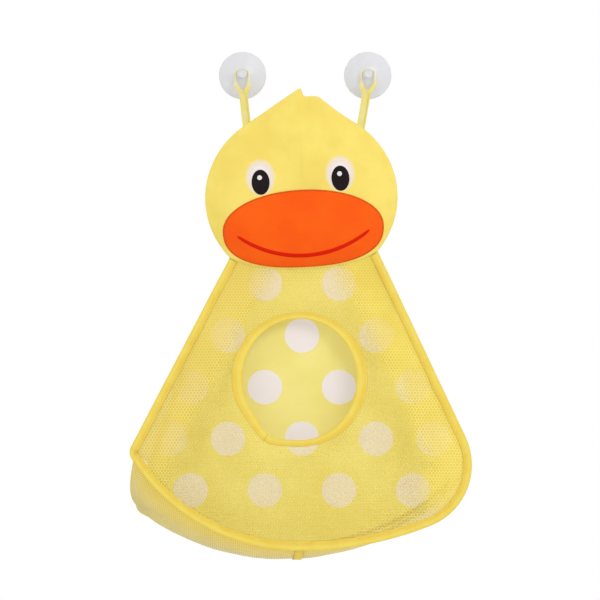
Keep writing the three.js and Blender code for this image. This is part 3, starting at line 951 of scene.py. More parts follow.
def sewnPatch(name, node, outline, middle, under, finish, height, puff=0.0, rings=10):
    middle = np.array(middle)
    shares = np.sin(np.linspace(0, math.pi / 2, rings + 1))[1:]
    upper, lower = [], []
    for share in shares:
        flat = middle + (outline - middle) * share
        base = under(flat)
        lift = height * (1 - share**patchShape["edgePower"])**0.5
        lift = lift + puff * (1 - share**2)**patchShape["puffPower"]
        upper.append(standing(flat, base - lift - patchShape["above"]))
        lower.append(standing(flat, base + patchShape["below"]))
    base = under([middle])[0]
    top = (middle[0], base - height - puff - patchShape["above"], middle[1])
    bottom = (middle[0], base + patchShape["below"], middle[1])
    points, faces = shellOf(top, upper + lower[::-1], bottom)
    rim = np.repeat([*shares, *shares[::-1]], len(outline))
    world = placed(headPlace, points)
    marks = {"rim": np.concatenate([[0], rim, [0]])}
    piece = newPiece(name, world, facingOut(world, faces), finish, points[:, [0, 2]], marks)
    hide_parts(node)
    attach(piece, "bag")
    return piece


def beakOutline(steps=160):
    turns = roundTurns(steps) + math.pi / steps
    power = 2 / np.where(turns < math.pi, beakShape["upperPower"], beakShape["lowerPower"])
    flat = np.column_stack(boxyRound(turns, power)) * (beakShape["halfWidth"], beakShape["halfHeight"])
    return np.array(beakShape["middle"]) + flat


def ellipse(middle, width, height, steps):
    return np.array(middle) + onCircle(roundTurns(steps)) * (width / 2, height / 2)


beakRim = spaced(beakOutline(), 2.2, closed=True)
beak = sewnPatch(
    "beak", "beak_patch", beakRim, beakShape["middle"], frontOf(cover), "beakCloth",
    beakShape["height"], beakShape["puff"], 14,
)

smileShape = {
    "halfWidth": 62.5,
    "endDrop": 4.2,
    "sag": 21.2,
    "width": 3.7,
    "thinner": 0.2,
    "endPower": 24,
    "height": 0.7,
    "above": 0.02,
    "below": 0.25,
}


def smileLine():
    smile = smileShape
    radius = (smile["halfWidth"]**2 + smile["sag"]**2) / (2 * smile["sag"])
    spread = math.asin(smile["halfWidth"] / radius)
    turns = np.linspace(-spread, spread, 90)
    x, z = beakShape["middle"]
    z = z - smile["endDrop"] - smile["sag"] + radius
    line = np.column_stack([x + radius * np.sin(turns), z - radius * np.cos(turns)])
    share = np.abs(turns) / spread
    ends = np.sqrt(1 - np.minimum(share, 0.999)**smile["endPower"])
    return line, smile["width"] / 2 * (1 - smile["thinner"] * share**2) * ends


def sewnSmile():
    line, half = smileLine()
    inward = inwardOf(line)
    under = frontOf(cover, beak)
    turns = np.linspace(0, math.pi, 9)

    def strip(turn, lift):
        flat = line + inward * (half * math.cos(turn))[:, None]
        return standing(flat, under(flat) - lift)

    over = [strip(turn, smileShape["height"] * math.sin(turn) + smileShape["above"]) for turn in turns]
    below = [strip(turn, -smileShape["below"]) for turn in turns[::-1]]
    sections = np.stack(over + below, axis=1)
    run = np.repeat(reachOf(line), sections.shape[1])
    cloth = np.column_stack([run, np.zeros(len(run))])
    piece = loft("smile", placed(headPlace, sections), "smileSatin", cloth)
    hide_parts("smile_trim")
    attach(piece, "bag")


sewnSmile()

eyeShape = {
    "spread": 37.7,
    "white": (20.4, 30.6, 37.6),  # height on the face, width and height
    "pupil": (15.9, 17.0, 23.8),
    "glint": (20.2, 4.6),
    "glintShift": -0.7,
}
for side, sign in bothSides:
    x = sign * eyeShape["spread"]
    z, width, height = eyeShape["white"]
    white = sewnPatch(
        f"eye_white_{side}", f"{side}_eye_white", ellipse((x, z), width, height, 64), (x, z),
        frontOf(cover), "eyeWhite", 0.08, rings=12,
    )
    z, width, height = eyeShape["pupil"]
    pupil = sewnPatch(
        f"pupil_{side}", f"{side}_pupil", ellipse((x, z), width, height, 64), (x, z),
        frontOf(cover, white, beak), "pupilSatin", 0.6, 0.5,
    )
    z, width = eyeShape["glint"]
    glintX = x + eyeShape["glintShift"]
    sewnPatch(
        f"glint_{side}", f"{side}_eye_glint", ellipse((glintX, z), width, width, 32), (glintX, z),
        frontOf(cover, white, pupil), "glintSatin", 0.35, 0.2, 6,
    )
print("face")


# Hanging loops: flat webbing, bunched round where it crosses a cup's neck

loopShape = {
    "width": 6.0,
    "thickness": 1.0,
    "gap": 0.5,
    "stagger": 1.0,
    "bunch": 1.3,
    "thin": 1.05,
    "square": 0.45,
    "sewnHalf": 0.36,
    "sewnAbove": (9.0, 1.0),
    "behind": 0.5,
    "clearance": 0.3,
    "archDrop": 4.0,
    "mergeLength": 11.0,
    "seat": {"left": -50.5, "right": 57.7},
    "tuckIn": 4.0,
    "deeperFrom": (8.0, 9.0),  # below the top, and below the eye
    "bars": (2.0, 4.0),
    "barSpan": (-3.0, 2.0),
}


def toBag(flat):  # places of the head, seen in the bag's frame
    tilt = math.radians(headShape["tilt"])
    flat = np.asarray(flat, float).reshape(-1, 2)
    return np.column_stack([
        flat[:, 0] * math.cos(tilt) - flat[:, 1] * math.sin(tilt) + headShape["middle"][0],
        flat[:, 0] * math.sin(tilt) + flat[:, 1] * math.cos(tilt) + headShape["middle"][1],
    ])


headInBag = toBag(headRim)


def headTop(x):
    upper = headInBag[headInBag[:, 1] > headShape["middle"][1]]
    order = np.argsort(upper[:, 0])
    return float(np.interp(x, upper[order, 0], upper[order, 1]))


def hangingLoop(side, sign):
    shape = loopShape
    bunch = shape["bunch"] / math.cos(math.pi / 8)
    rise = cupShape["neckRadius"] + shape["clearance"] + bunch
    eyeHalf = cupShape["knobRadius"] + shape["clearance"] + bunch
    knobReach = cupShape["neckLength"] / 2 + cupShape["knobLength"]
    eyeLength = math.hypot(rise + cupShape["knobRadius"], knobReach) + bunch
    mergeEnd = eyeLength + shape["mergeLength"]
    topX = sign * cupShape["spacing"] / 2 - bagPlace.translation.x / mm
    seatX = shape["seat"][side]
    seatDrop = -headTop(seatX)
    thin, wideHalf = shape["thin"], shape["width"] / 2
    stations = []  # place, direction across, half width, half thickness

    def middleX(drop):
        return topX + (seatX - topX) * max(0.0, (drop - eyeLength) / (seatDrop - eyeLength))

    def strandStation(drop, strand):
        merged = float(smooth(drop, eyeLength, mergeEnd))
        x = middleX(drop) + strand * lerp(eyeHalf, shape["stagger"], merged)
        flat = float(smooth(drop + shape["mergeLength"] / 2, eyeLength, mergeEnd))
        sewn = float(smooth(drop, *(seatDrop - above for above in shape["sewnAbove"])))
        apart = lerp((shape["thickness"] + shape["gap"]) / 2, shape["sewnHalf"], sewn)
        y = strand * apart * flat + shape["behind"] * sewn
        wide = lerp(thin, wideHalf, flat)
        thick = lerp(thin, lerp(shape["thickness"] / 2, shape["sewnHalf"], sewn), flat)
        stations.append(((x, y, -drop), (-strand, 0, 0), wide, thick))

    drops = np.concatenate([
        np.linspace(shape["archDrop"], mergeEnd, 30),
        np.linspace(mergeEnd, seatDrop + shape["tuckIn"], 12)[1:],
    ])
    for drop in drops[::-1]:
        strandStation(drop, -1)
    for turn in np.linspace(0, math.pi, 24)[1:-1]:
        out = (-math.cos(turn), math.sin(turn))
        across = Vector((-out[0] / eyeHalf, 0, -out[1] / shape["archDrop"])).normalized()
        at = (topX + eyeHalf * out[0], 0, shape["archDrop"] * (out[1] - 1))
        stations.append((at, across, thin, thin))
    for drop in drops:
        strandStation(drop, 1)
    turns = roundTurns(20)
    reach = reachOf(np.array([station[0] for station in stations]))
    deeperFrom, deeperTo = shape["deeperFrom"][0], eyeLength + shape["deeperFrom"][1]
    sections, cloth, edge = [], [], []
    for (at, across, wide, thick), run in zip(stations, reach):
        u, v = boxyRound(turns, lerp(1.0, shape["square"], (wide - thin) / (wideHalf - thin)))
        u, v = u * wide, v * thick
        sections.append(np.array(at) + u[:, None] * np.array(across) + v[:, None] * np.array((0, 1, 0)))
        cloth += [(a, run) for a in u]
        edge += list(1.1 * smooth(-at[2], deeperFrom, deeperTo) + 0.25 * np.abs(u / wide)**6)
    world = placed(bagPlace, np.stack(sections))
    piece = loft(f"loop_{side}", world, "webbing", np.array(cloth), {"edge": edge})
    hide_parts(f"{side}_hanging_loop")
    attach(piece, "bag")
    y = -(shape["thickness"] + shape["gap"] / 2) - 0.1
    rows = []  # stitches that hold the two strands together
    for drop in (mergeEnd + below for below in shape["bars"]):
        row = [(middleX(drop) + step, y, -drop) for step in np.linspace(*shape["barSpan"], 6)]
        rows.append(placed(bagPlace, row))
    return rows


loopRows = [row for side, sign in bothSides for row in hangingLoop(side, sign)]
print("hanging loops")


# Panels: each side runs straight from the neck, round a corner and along the hem

panelShape = {
    "front": {
        "left": {"flare": 27.0, "corner": 10.0, "hemRadius": 187.0},
        "right": {"flare": 24.7, "corner": 61.0, "hemRadius": 330.0},
        "hem": (0.0, 282.0),
    },
    "back": {
        "left": {"flare": 21.3, "corner": 12.0, "hemRadius": 310.0},
        "right": {"flare": 25.0, "corner": 45.0, "hemRadius": 220.0},
        "hem": (-5.7, 285.0),
        "bow": (5.0, 240.0),  # how far the left side's cut swings out, and over what height
    },
    "seamGap": 0.4,
    "backNeckInset": 2.5,
    "backTuck": 20.0,
    "backDepth": 1.85,
    "cloth": 0.8,
}
edgeSteps = {"side": 40, "corner": 30, "hem": 50}  # five for each of the CAD's own
backPlace = bagPlace @ shifted(0, panelShape["backDepth"], neckZ)


def halfEdge(sign, start, shape, hem):
    lean = math.radians(shape["flare"])
    corner, radius = shape["corner"], shape["hemRadius"]
    begin = np.array((sign * (start[0] - hem[0]), start[1]))
    along = np.array((math.sin(lean), -math.cos(lean)))
    inward = np.array((along[1], -along[0]))
    hemMiddle = np.array((0, radius - hem[1]))
    base = begin + inward * corner - hemMiddle
    half = base @ along
    run = -half + math.sqrt(half**2 - base @ base + (radius - corner)**2)
    cornerMiddle = base + along * run + hemMiddle
    first = math.atan2(-inward[1], -inward[0])
    turn = math.atan2(*(cornerMiddle - hemMiddle)[::-1])

    def arc(middle, size, a, b, steps):
        return middle + size * onCircle(np.linspace(a, b, steps))

    side = begin + along * (run * np.linspace(0, 1, edgeSteps["side"], endpoint=False))[:, None]
    bend = arc(cornerMiddle, corner, first, turn, edgeSteps["corner"] + 1)[:-1]
    bottom = arc(hemMiddle, radius, turn, -math.pi / 2, edgeSteps["hem"] + 1)
    return np.vstack([side, bend, bottom]) * (sign, 1) + (hem[0], 0)


def onFront(flat):  # places of the bag's frame, seen on the leaning front
    return np.column_stack([flat[:, 0], (flat[:, 1] - neckZ) / math.cos(frontLean) - panelShape["seamGap"]])


neckEnds = {"left": toBag(chinLeft)[0], "right": toBag(chinRight)[0]}
edgeStarts = {
    "front": {side: onFront(neckEnds[side][None])[0] for side in neckEnds},
    "back": {
        side: np.array((neckEnds[side][0] - sign * panelShape["backNeckInset"], 0))
        for side, sign in bothSides
    },
}


def panelEdge(name, drops):  # from the left side round the bottom to the right
    panel = panelShape[name]
    halves = []
    for side, sign in bothSides:
        x, z = edgeStarts[name][side]
        reach = (z + drops[side]) * math.tan(math.radians(panel[side]["flare"]))
        halves.append(halfEdge(sign, (x + sign * reach, -drops[side]), panel[side], panel["hem"]))
    edge = np.vstack([halves[0], halves[1][::-1][1:]])
    bow, height = panel.get("bow", (0.0, 1.0))
    swing = np.sin(math.pi * np.clip(-edge[:, 1] / height, 0, 1))
    edge[:, 0] -= bow * swing * (edge[:, 0] < 0)
    return edge


def sameDrop(drop):
    return {"left": drop, "right": drop}


frontDrops = {side: -start[1] for side, start in edgeStarts["front"].items()}
frontEdge = panelEdge("front", frontDrops)
backEdge = panelEdge("back", sameDrop(-panelShape["backTuck"]))
netTop = onFront(toBag(chinRun))  # the seam under the beak

# How the front net hangs: folds from the neck and from the corners, flat along its tape
frontHang = {
    "seamReach": 34.0,
    "seamIn": 3.0,
    "closeReach": (25.0, 54.0),  # the net is close along its sides, most of all near the head, and painted deeper there as shade
    "closeAbove": (-140.0, -80.0),
    "closeBelow": 0.8,
    "paintedShade": (0.75, 0.2),  # how much painted shade, left and right
    "folds": [  # top x, bottom x, from z, to z, half width, height
        (66.0, 88.0, -50.0, -252.0, 9.0, 4.2),
        (86.0, 116.0, -110.0, -258.0, 9.0, 3.0),
        (-70.0, -96.0, -50.0, -230.0, 11.0, 3.6),
        (-20.0, -34.0, -20.0, -62.0, 8.0, 2.2),
        (28.0, 30.0, -18.0, -60.0, 8.0, 2.0),
        (-40.0, -60.0, -190.0, -262.0, 12.0, 2.8),
        (34.0, 44.0, -188.0, -258.0, 13.0, 2.6),
    ],
    "foldEnds": ((-0.05, 0.3), (0.7, 1.1)),  # shares of a fold's length over which it rises and falls
    "loose": (1.3, 46.0),  # height and size
    "looseBelow": 30.0,
    "tapeReach": (2.0, 45.0),
    "tapeShare": 0.18,
}

headLow = headInBag[headInBag[:, 1] < headShape["middle"][1]]
headLow = onFront(headLow[np.argsort(headLow[:, 0])])


def belowChin(flat):  # how far below the head a place of the front lies
    return np.interp(flat[:, 0], headLow[:, 0], headLow[:, 1]) - flat[:, 1]


def frontDepth(flat):  # how far the hanging net stands behind its flat plane
    x, z = flat[:, 0], flat[:, 1]
    looseHeight, looseSize = frontHang["loose"]
    rises, falls = frontHang["foldEnds"]
    hang = looseHeight * ripple(flat, looseSize, 8)
    for topX, bottomX, top, bottom, half, height in frontHang["folds"]:
        share = (z - top) / (bottom - top)
        length = smooth(share, *rises) * (1 - smooth(share, *falls))
        hang = hang - height * np.exp(-((x - lerp(topX, bottomX, share)) / half)**2) * length
    fromTape = smooth(distanceTo(flat, frontEdge), *frontHang["tapeReach"])
    hang = hang * lerp(frontHang["tapeShare"], 1, fromTape)
    drop = belowChin(flat)
    atSeam = 1 - smooth(drop, 0, frontHang["seamReach"])
    return hang * smooth(drop, 0, frontHang["looseBelow"]) - z * math.tan(frontLean) * atSeam


def frontPoints(flat, y=0.0):
    return placed(frontPlace, standing(flat, y + frontDepth(flat)))


def bodyBlend(piece, weights):  # weights from 0, with the bag, to 1, with its front, are not used: the piece's place is only baked into its points
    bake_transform(piece)


def hangFromSeam(piece):  # weights from the seam under the head, with the bag, to where it hangs free, with the front; only its place is baked in
    points = seenFrom(frontPlace, [vertex.co for vertex in piece.data.vertices])
    bodyBlend(piece, smooth(belowChin(points[:, [0, 2]]), 0, frontHang["seamReach"]))


# Opening: a taped ring, drawn to a soft corner low on the left

openingShape = {
    "middle": (-0.4, -122.0),
    "half": (53.9, 57.2),  # across and down, inside the tape
    "lining": 0.6,
    "outer": 63.6,
    "hole": 58.6,
    "corner": (243.0, 13.0, 3.4),  # at, width and height, over the round
    "flat": (214.0, 16.0, -0.9),
    "tapeEnds": 160,  # the step at which the tape's ends meet, low on the left
}


def openingRing(halfX, halfZ, steps=240):
    degrees = np.linspace(0, 360, steps, endpoint=False)
    turns = np.radians(degrees)
    radius = 1 / np.hypot(np.cos(turns) / halfX, np.sin(turns) / halfZ)
    for at, width, height in (openingShape["corner"], openingShape["flat"]):
        radius += height * np.exp(-((degrees - at) / width)**2)
    return np.array(openingShape["middle"]) + onCircle(turns) * radius[:, None]


def frontNet():
    seam = netTop[1:-1][::-1] + (0, frontHang["seamIn"])  # sewn into the head's seam
    outline = np.vstack([spaced(frontEdge, 3.2), spaced(seam, 3.2)])
    hole = openingRing(openingShape["hole"], openingShape["hole"], 120)
    flat, faces = filled(outline, [hole], 4.0)
    sideCount = edgeSteps["side"] + edgeSteps["corner"] // 2
    sides = np.vstack([spaced(frontEdge[:sideCount], 2.0), spaced(frontEdge[-sideCount:], 2.0)])
    close = 1 - smooth(distanceTo(flat, sides), *frontHang["closeReach"])
    close = close * lerp(frontHang["closeBelow"], 1, smooth(flat[:, 1], *frontHang["closeAbove"]))
    # painted shade along the net's sides, deeper on the left than on the right
    paintedShade = close * np.where(flat[:, 0] < 0, *frontHang["paintedShade"])
    marks = {"edge": 1 - close, "paintedShade": paintedShade}
    piece = newPiece("front_net", frontPoints(flat), faces, "net", flat, marks)
    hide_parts("front_mesh_panel")
    hangFromSeam(piece)
    return len(faces)


print("front net:", frontNet(), "faces")


# Tapes, folded round an edge with the cloth between their two flaps

tapeShape = {
    "width": 7.4,
    "half": 0.95,
    "wall": 0.5,
    "foldIn": (0.35, 0.45),  # middle of the fold's outside and of its inside
    "flapEdge": [(0.0, 0.72), (0.25, 0.96), (1.1, 1.0)],  # in from the edge, and share of the half
    "flapShares": (0.62, 0.3),
    "lipIn": 0.1,
    "stitchIn": 0.76,
    "stitchUp": 0.03,
    "frontStart": -3.0,
    "backStart": 5.0,
    "step": 1.5,
    "wobble": 0.35,
    "wobbleSizes": (16.0, 5.0),
    "fullness": (0.1, 6.0),  # height and size
    "deeper": (0.45, 0.7),  # shares of the width: deeper yellow, partly the colour of the layers under it and partly painted shade; faded again; and darker along the fold
    "faded": (0.9, 1.0),
    "lined": (0.02, 0.2),
    "neckGap": 0.4,
    "leftTrim": 3.0,  # the back's tape is turned in less along its left side
    "leftTrimAbove": (-250.0, -220.0),
}


def tapeSection():
    width, half, wall = (tapeShape[key] for key in ("width", "half", "wall"))
    turns = np.linspace(-math.pi / 2, math.pi / 2, 7)
    room = half - wall
    outIn, inIn = tapeShape["foldIn"]
    fold = [(outIn - half * math.cos(a), half * math.sin(a)) for a in turns]
    inside = [(inIn - room * math.cos(a), room * math.sin(a)) for a in turns]
    flap = [(width - back, half * share) for back, share in tapeShape["flapEdge"]]
    flap += [(width * share, half) for share in tapeShape["flapShares"]]
    under = [(u - tapeShape["lipIn"] if u == width else u, room) for u, _ in flap]
    outer = [(u, -y) for u, y in flap] + fold + flap[::-1]
    inner = [(u, -y) for u, y in under] + inside + under[::-1]
    return np.array(outer + inner[::-1])


def foldedTape(name, node, edge, inward, toWorld, seed, finish="tape", width=tapeShape["width"], lined=0.0):
    count = len(edge)
    width = np.broadcast_to(width, count)
    reach = reachOf(edge)
    wide, fine = tapeShape["wobbleSizes"]
    wobble = tapeShape["wobble"] * (ripple(edge, wide, seed) + 0.5 * ripple(edge, fine, seed + 1))
    swell, size = tapeShape["fullness"]
    full = 1 + swell * ripple(edge, size, seed + 2)
    sections, cloth, dark = [], [], []
    for u, y in tapeSection():
        share = u / tapeShape["width"]
        at = edge + inward * (share * width + wobble * share)[:, None]
        sections.append(toWorld(at, y * full))
        cloth.append(np.column_stack([np.full(count, u + (30 if y > 0 else 0)), reach]))
        # partly painted shade: the inner part of the tape is deeper, partly for the layers under it
        shade = smooth(share, *tapeShape["deeper"]) - 0.5 * smooth(share, *tapeShape["faded"])
        dark.append(np.full(count, shade + lined * (1 - smooth(share, *tapeShape["lined"]))))
    sections, cloth, dark = (np.stack(values, axis=1) for values in (sections, cloth, dark))
    piece = loft(name, sections, finish, cloth.reshape(-1, 2), {"edge": dark.ravel()})
    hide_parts(node)
    at = edge + inward * ((width + wobble) * tapeShape["stitchIn"])[:, None]
    height = tapeShape["half"] * full + tapeShape["stitchUp"]
    return piece, [toWorld(at, side * height) for side in (-1, 1)]


def underHead(flat, y=0.0):  # on the front, but no higher than the head's lower edge
    flat = np.array(flat)
    flat[:, 1] += np.minimum(belowChin(flat) - tapeShape["neckGap"], 0)
    return frontPoints(flat, y)


tapeDrops = {side: drop + tapeShape["frontStart"] for side, drop in frontDrops.items()}
tapeEdge = spaced(panelEdge("front", tapeDrops), tapeShape["step"])
frontTape, frontRows = foldedTape(
    "front_tape", "front_edge_binding", tapeEdge, inwardOf(tapeEdge), underHead, 11, lined=0.5
)
hangFromSeam(frontTape)


def ringFromEnds(halfX, halfZ):
    ring, ends = openingRing(halfX, halfZ), openingShape["tapeEnds"]
    return np.vstack([ring[ends:], ring[:ends + 1]])


ringEdge = ringFromEnds(*(half + openingShape["lining"] for half in openingShape["half"]))
ringOutward = ringEdge - np.array(openingShape["middle"])
ringRadius = np.linalg.norm(ringOutward, axis=1)
ringOutward = ringOutward / ringRadius[:, None]
ringRound = ringFromEnds(openingShape["outer"], openingShape["outer"]) - np.array(openingShape["middle"])
openingTape, ringRows = foldedTape(
    "opening_tape", "opening_binding", ringEdge, ringOutward, frontPoints, 21,
    width=np.linalg.norm(ringRound, axis=1) - ringRadius, lined=0.5,
)
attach(openingTape, "front_panel")


# Back: printed cloth that hangs flat behind the head, with its own tape

backHang = {
    "swell": (1.6, 60.0),  # height and size
    "swellReach": (8.0, 50.0),
    "swellBelow": (-60.0, -20.0),
    "middle": 1.85,
    "eased": 15.6,  # the cloth is eased in between the dots of one row, towards both sides
    "easedAcross": (87.0, 107.0),
    "easedLow": (-209.0, -196.0),
    "easedHigh": (-160.0, -147.0),
}


def backPoints(flat, y=0.0):
    swell, size = backHang["swell"]
    loose = swell * (0.5 + 0.5 * ripple(flat, size, 14))
    loose = loose * smooth(distanceTo(flat, backEdge), *backHang["swellReach"])
    loose = loose * (1 - smooth(flat[:, 1], *backHang["swellBelow"]))
    return placed(backPlace, standing(flat, y - loose))


def backCloth():
    top = np.linspace(backEdge[-1], backEdge[0], 60)[1:-1]
    outline = np.vstack([spaced(backEdge, 4.0), top])
    flat, faces = filled(outline, [], 5.0)
    count, half = len(flat), panelShape["cloth"] / 2
    points = np.vstack([backPoints(flat, -half), backPoints(flat, half)])
    edges = dict.fromkeys(edge for face in faces for edge in zip(face, face[1:] + face[:1]))
    rim = [(b, a, a + count, b + count) for a, b in edges if (b, a) not in edges]
    behind = [tuple(index + count for index in reversed(face)) for face in faces]
    cloth = flat.copy()
    outward, z = flat[:, 0] - backHang["middle"], flat[:, 1]
    eased = smooth(z, *backHang["easedLow"]) * (1 - smooth(z, *backHang["easedHigh"]))
    eased = eased * backHang["eased"] * smooth(np.abs(outward), *backHang["easedAcross"])
    cloth[:, 0] += np.sign(outward) * eased
    piece = newPiece("back_cloth", points, faces + rim + behind, "dottedFront", np.vstack([cloth, cloth]))
    piece.data.materials.append(finishes["dottedBack"].material)
    for face in piece.data.polygons[len(faces) + len(rim):]:
        face.material_index = 1
    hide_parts("back_panel")
    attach(piece, "bag")


backCloth()
tapeEdge = spaced(panelEdge("back", sameDrop(tapeShape["backStart"])), tapeShape["step"])
trim = tapeShape["leftTrim"] * (tapeEdge[:, 0] < 0) * smooth(tapeEdge[:, 1], *tapeShape["leftTrimAbove"])
backTape, backRows = foldedTape(
    "back_tape", "back_edge_binding", tapeEdge, inwardOf(tapeEdge), backPoints, 31, "paleTape",
    width=tapeShape["width"] - trim,
)
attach(backTape, "bag")
print("tapes and back")


# Gussets: net walls between front and back, tucked in at the sides and full at the bottom

gussetShape = {
    "start": 54.0,
    "top": 9.0,
    "topSteps": 14,
    "inset": 3.0,
    "seat": 2.1,
    "topSeat": 1.0,
    "tuck": 45.0,
    "foldRadius": 1.6,
    "bulge": (17.0, 4.0),
    "tuckFrom": 20,
    "tuckTo": 80,
    "across": 28,
    "crease": (0.8, 24.0),  # height and size
    "creaseFrom": (8, 40),  # steps away from the corner
    "closesFrom": 15,  # steps below where the tuck begins to turn
    "opens": (-1.0, 3.5),
    "lowest": 0.5,
    "lowestReach": (2.0, 9.0),
    # painted light and shade on the gusset net: how lit its left and right are, and a scale for all tucked
    # parts
    "pale": {"left": 0.1, "right": 1.0, "tucked": 0.7},
    "paleHem": (-20, 110),  # steps from the middle of the hem, over which the painted shade on the left turns to painted light on the right
    # painted shade along the front seam of the hem, over these shares across
    "paintedShade": (0.05, 0.4),
}


def gussetSeats(name, toWorld, side):
    edge, neck = (panelEdge(name, sameDrop(gussetShape[key])) for key in ("start", "top"))
    share = np.linspace(0, 1, gussetShape["topSteps"], endpoint=False)
    left, right = (lerp(neck[end], edge[end], share[:, None]) for end in (0, -1))
    edge = np.vstack([left, edge, right[::-1]])
    seat = lerp(gussetShape["topSeat"], gussetShape["seat"], share)
    seat = np.concatenate([seat, np.full(len(edge) - 2 * len(share), gussetShape["seat"]), seat[::-1]])
    inward = inwardOf(edge)
    return seenFrom(bagPlace, toWorld(edge + inward * gussetShape["inset"], side * seat)), inward


frontSeats, frontInward = gussetSeats("front", frontPoints, 1)
backSeats, backInward = gussetSeats("back", backPoints, -1)
hemMiddle = gussetShape["topSteps"] + sum(edgeSteps.values())


def fromTop(station):
    return np.minimum(station, 2 * hemMiddle - station) - gussetShape["topSteps"]


def gussetRise(station):  # the direction into the bag
    inward = frontInward[station] + backInward[station]
    inward = inward / np.linalg.norm(inward)
    return np.array((inward[0], 0, inward[1]))


def gussetBow(station, shares):
    start = frontSeats[station]
    span = backSeats[station] - start
    tuck = min(gussetShape["tuck"], span @ span / (math.pi**2 * gussetShape["foldRadius"]))
    turned = smooth(fromTop(station), gussetShape["tuckFrom"], gussetShape["tuckTo"])
    onHem = smooth(station, hemMiddle - edgeSteps["hem"], hemMiddle + edgeSteps["hem"])
    bow = lerp(tuck, -lerp(*gussetShape["bulge"], onHem), turned)
    return start + span * shares[:, None] + gussetRise(station) * (bow * np.sin(math.pi * shares))[:, None]


def gussetMarks(side, stations, rows, shares):
    shape, pale = gussetShape, gussetShape["pale"]
    fromBack = rows - backSeats[stations][:, None]
    within = np.stack([row @ gussetRise(station) for station, row in zip(stations, fromBack)])
    turned = smooth(fromTop(stations), shape["tuckFrom"] + shape["closesFrom"], shape["tuckTo"])[:, None]
    before = smooth(within, *shape["opens"])  # where the net lies tucked before the back's cloth
    lowest = shape["lowest"] * smooth(-within, *shape["lowestReach"])
    tucked = lerp(pale[side], 1, before) * pale["tucked"]
    onHem = smooth(stations, *(hemMiddle + step for step in shape["paleHem"]))[:, None]
    return {
        "edge": ((1 - turned) * before + turned * lowest).ravel(),
        # painted light where tucked and on the right, painted shade on the left and low on the hem's left
        "pale": lerp(tucked, onHem, turned).ravel(),
        # painted shade along the front seam where the hem bulges
        "paintedShade": (turned * (1 - smooth(shares, *shape["paintedShade"]))[None, :]).ravel(),
    }


def gusset(side, stations, seed):
    stations = np.array(stations)
    shares = np.linspace(0, 1, gussetShape["across"] + 1)
    rows = np.stack([gussetBow(station, shares) for station in stations])
    points = rows.reshape(-1, 3)
    free = np.sin(math.pi * np.tile(shares, len(rows)))
    fromCorner = np.abs(fromTop(stations) - edgeSteps["side"] - edgeSteps["corner"] / 2)
    tame = np.repeat(smooth(fromCorner, *gussetShape["creaseFrom"]), len(shares))
    crease, size = gussetShape["crease"]
    slack = crease * ripple(points, size, seed) * free * tame
    facing = np.cross(np.gradient(rows, axis=0), np.gradient(rows, axis=1))
    patch = np.linalg.norm(facing, axis=2, keepdims=True)
    points = points + (facing / patch).reshape(-1, 3) * slack[:, None]
    across = np.stack([reachOf(row) for row in rows])
    along = reachOf(rows[:, len(shares) // 2])
    cloth = np.column_stack([across.ravel(), np.repeat(along, len(shares))])
    faces = gridFaces(len(rows), len(shares))
    marks = gussetMarks(side, stations, rows, shares)
    piece = newPiece(f"gusset_{side}", placed(bagPlace, points), faces, "gussetNet", cloth, marks)
    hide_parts(f"{side}_gusset")
    size = (float(across[:, -1].max()) * mm, float(along[-1]) * mm)
    bodyBlend(piece, 1 - np.tile(shares, len(rows)))
    return len(faces)


leftFaces = gusset("left", range(0, hemMiddle + 1), 41)
rightFaces = gusset("right", range(hemMiddle, 2 * hemMiddle + 1), 43)
print("gussets:", leftFaces + rightFaces, "faces")

seamTape = {
    "width": 8.0,
    "bevel": 0.3,
    "trim": 0.08,
    "thickness": 0.5,
    "heights": (0.5, 1.0, 1.08, 1.0, 0.5),  # shares of the thickness, from edge to edge
    "shades": (1.0, 0.4, 0.2, 0.4, 1.0),
    "below": 0.6,
    "stitchIn": 1.4,
    "stitchHeight": 1.05,
}


def centerTape():
    shares = np.linspace(seamTape["trim"], 1 - seamTape["trim"], 30)
    line = gussetBow(hemMiddle, shares)
    out = np.cross(alongOf(line), (1, 0, 0))
    out *= np.sign(-out[:, 2:3])  # away from the bag, which is down here
    half = seamTape["width"] / 2
    inner = half - seamTape["bevel"]

    def strip(x, height):
        return line + np.array((x, 0, 0)) + out * (seamTape["below"] + seamTape["thickness"] * height)

    across = (-half, -inner, 0, inner, half)
    strips = [strip(x, height) for x, height in zip(across, seamTape["heights"])]
    strips += [strip(x, 0) for x in reversed(across)]
    count = len(strips)
    world = placed(bagPlace, np.stack(strips, axis=1))
    run = np.tile(np.linspace(0, 2 * seamTape["width"], count), len(line))
    cloth = np.column_stack([run, np.repeat(reachOf(line), count)])
    edge = np.tile([*seamTape["shades"], *np.ones(len(across))], len(line))
    piece = loft("gusset_seam_tape", world, "tape", cloth, {"edge": edge})
    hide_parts("gusset_center_tape")
    bodyBlend(piece, 1 - np.repeat(shares, count))
    stitchX = half - seamTape["stitchIn"]
    rows = [placed(bagPlace, strip(x, seamTape["stitchHeight"])) for x in (-stitchX, stitchX)]
    stitches = sewnRows("gusset_seam_stitches", rows, "seamTape", "thread")
    depth = np.array([vertex.co.y for vertex in stitches.data.vertices])
    first, last = world[0, 0, 1], world[-1, 0, 1]
    share = lerp(shares[0], shares[-1], np.clip((depth - first) / (last - first), 0, 1))
    bodyBlend(stitches, 1 - share)


centerTape()

backSeam = {"top": (3.0, 5.5), "chin": 3.0, "up": 0.05}
topRow = np.linspace(backEdge[0], backEdge[-1], 90)[2:-2]
chinRow = toBag(chinRun[4:-4]) - (0, neckZ - backSeam["chin"])
for row in [topRow - (0, below) for below in backSeam["top"]] + [chinRow]:
    backRows.append(backPoints(row, panelShape["cloth"] / 2 + backSeam["up"]))

frontStitches = sewnRows("front_stitches", frontRows + ringRows, "tape", "thread")
hangFromSeam(frontStitches)
bagStitches = sewnRows("bag_stitches", backRows + loopRows, "tape", "thread")
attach(bagStitches, "bag")


# Overcast edge of the beak

overcast = {"in": 1.3, "out": 0.35, "up": 0.1}


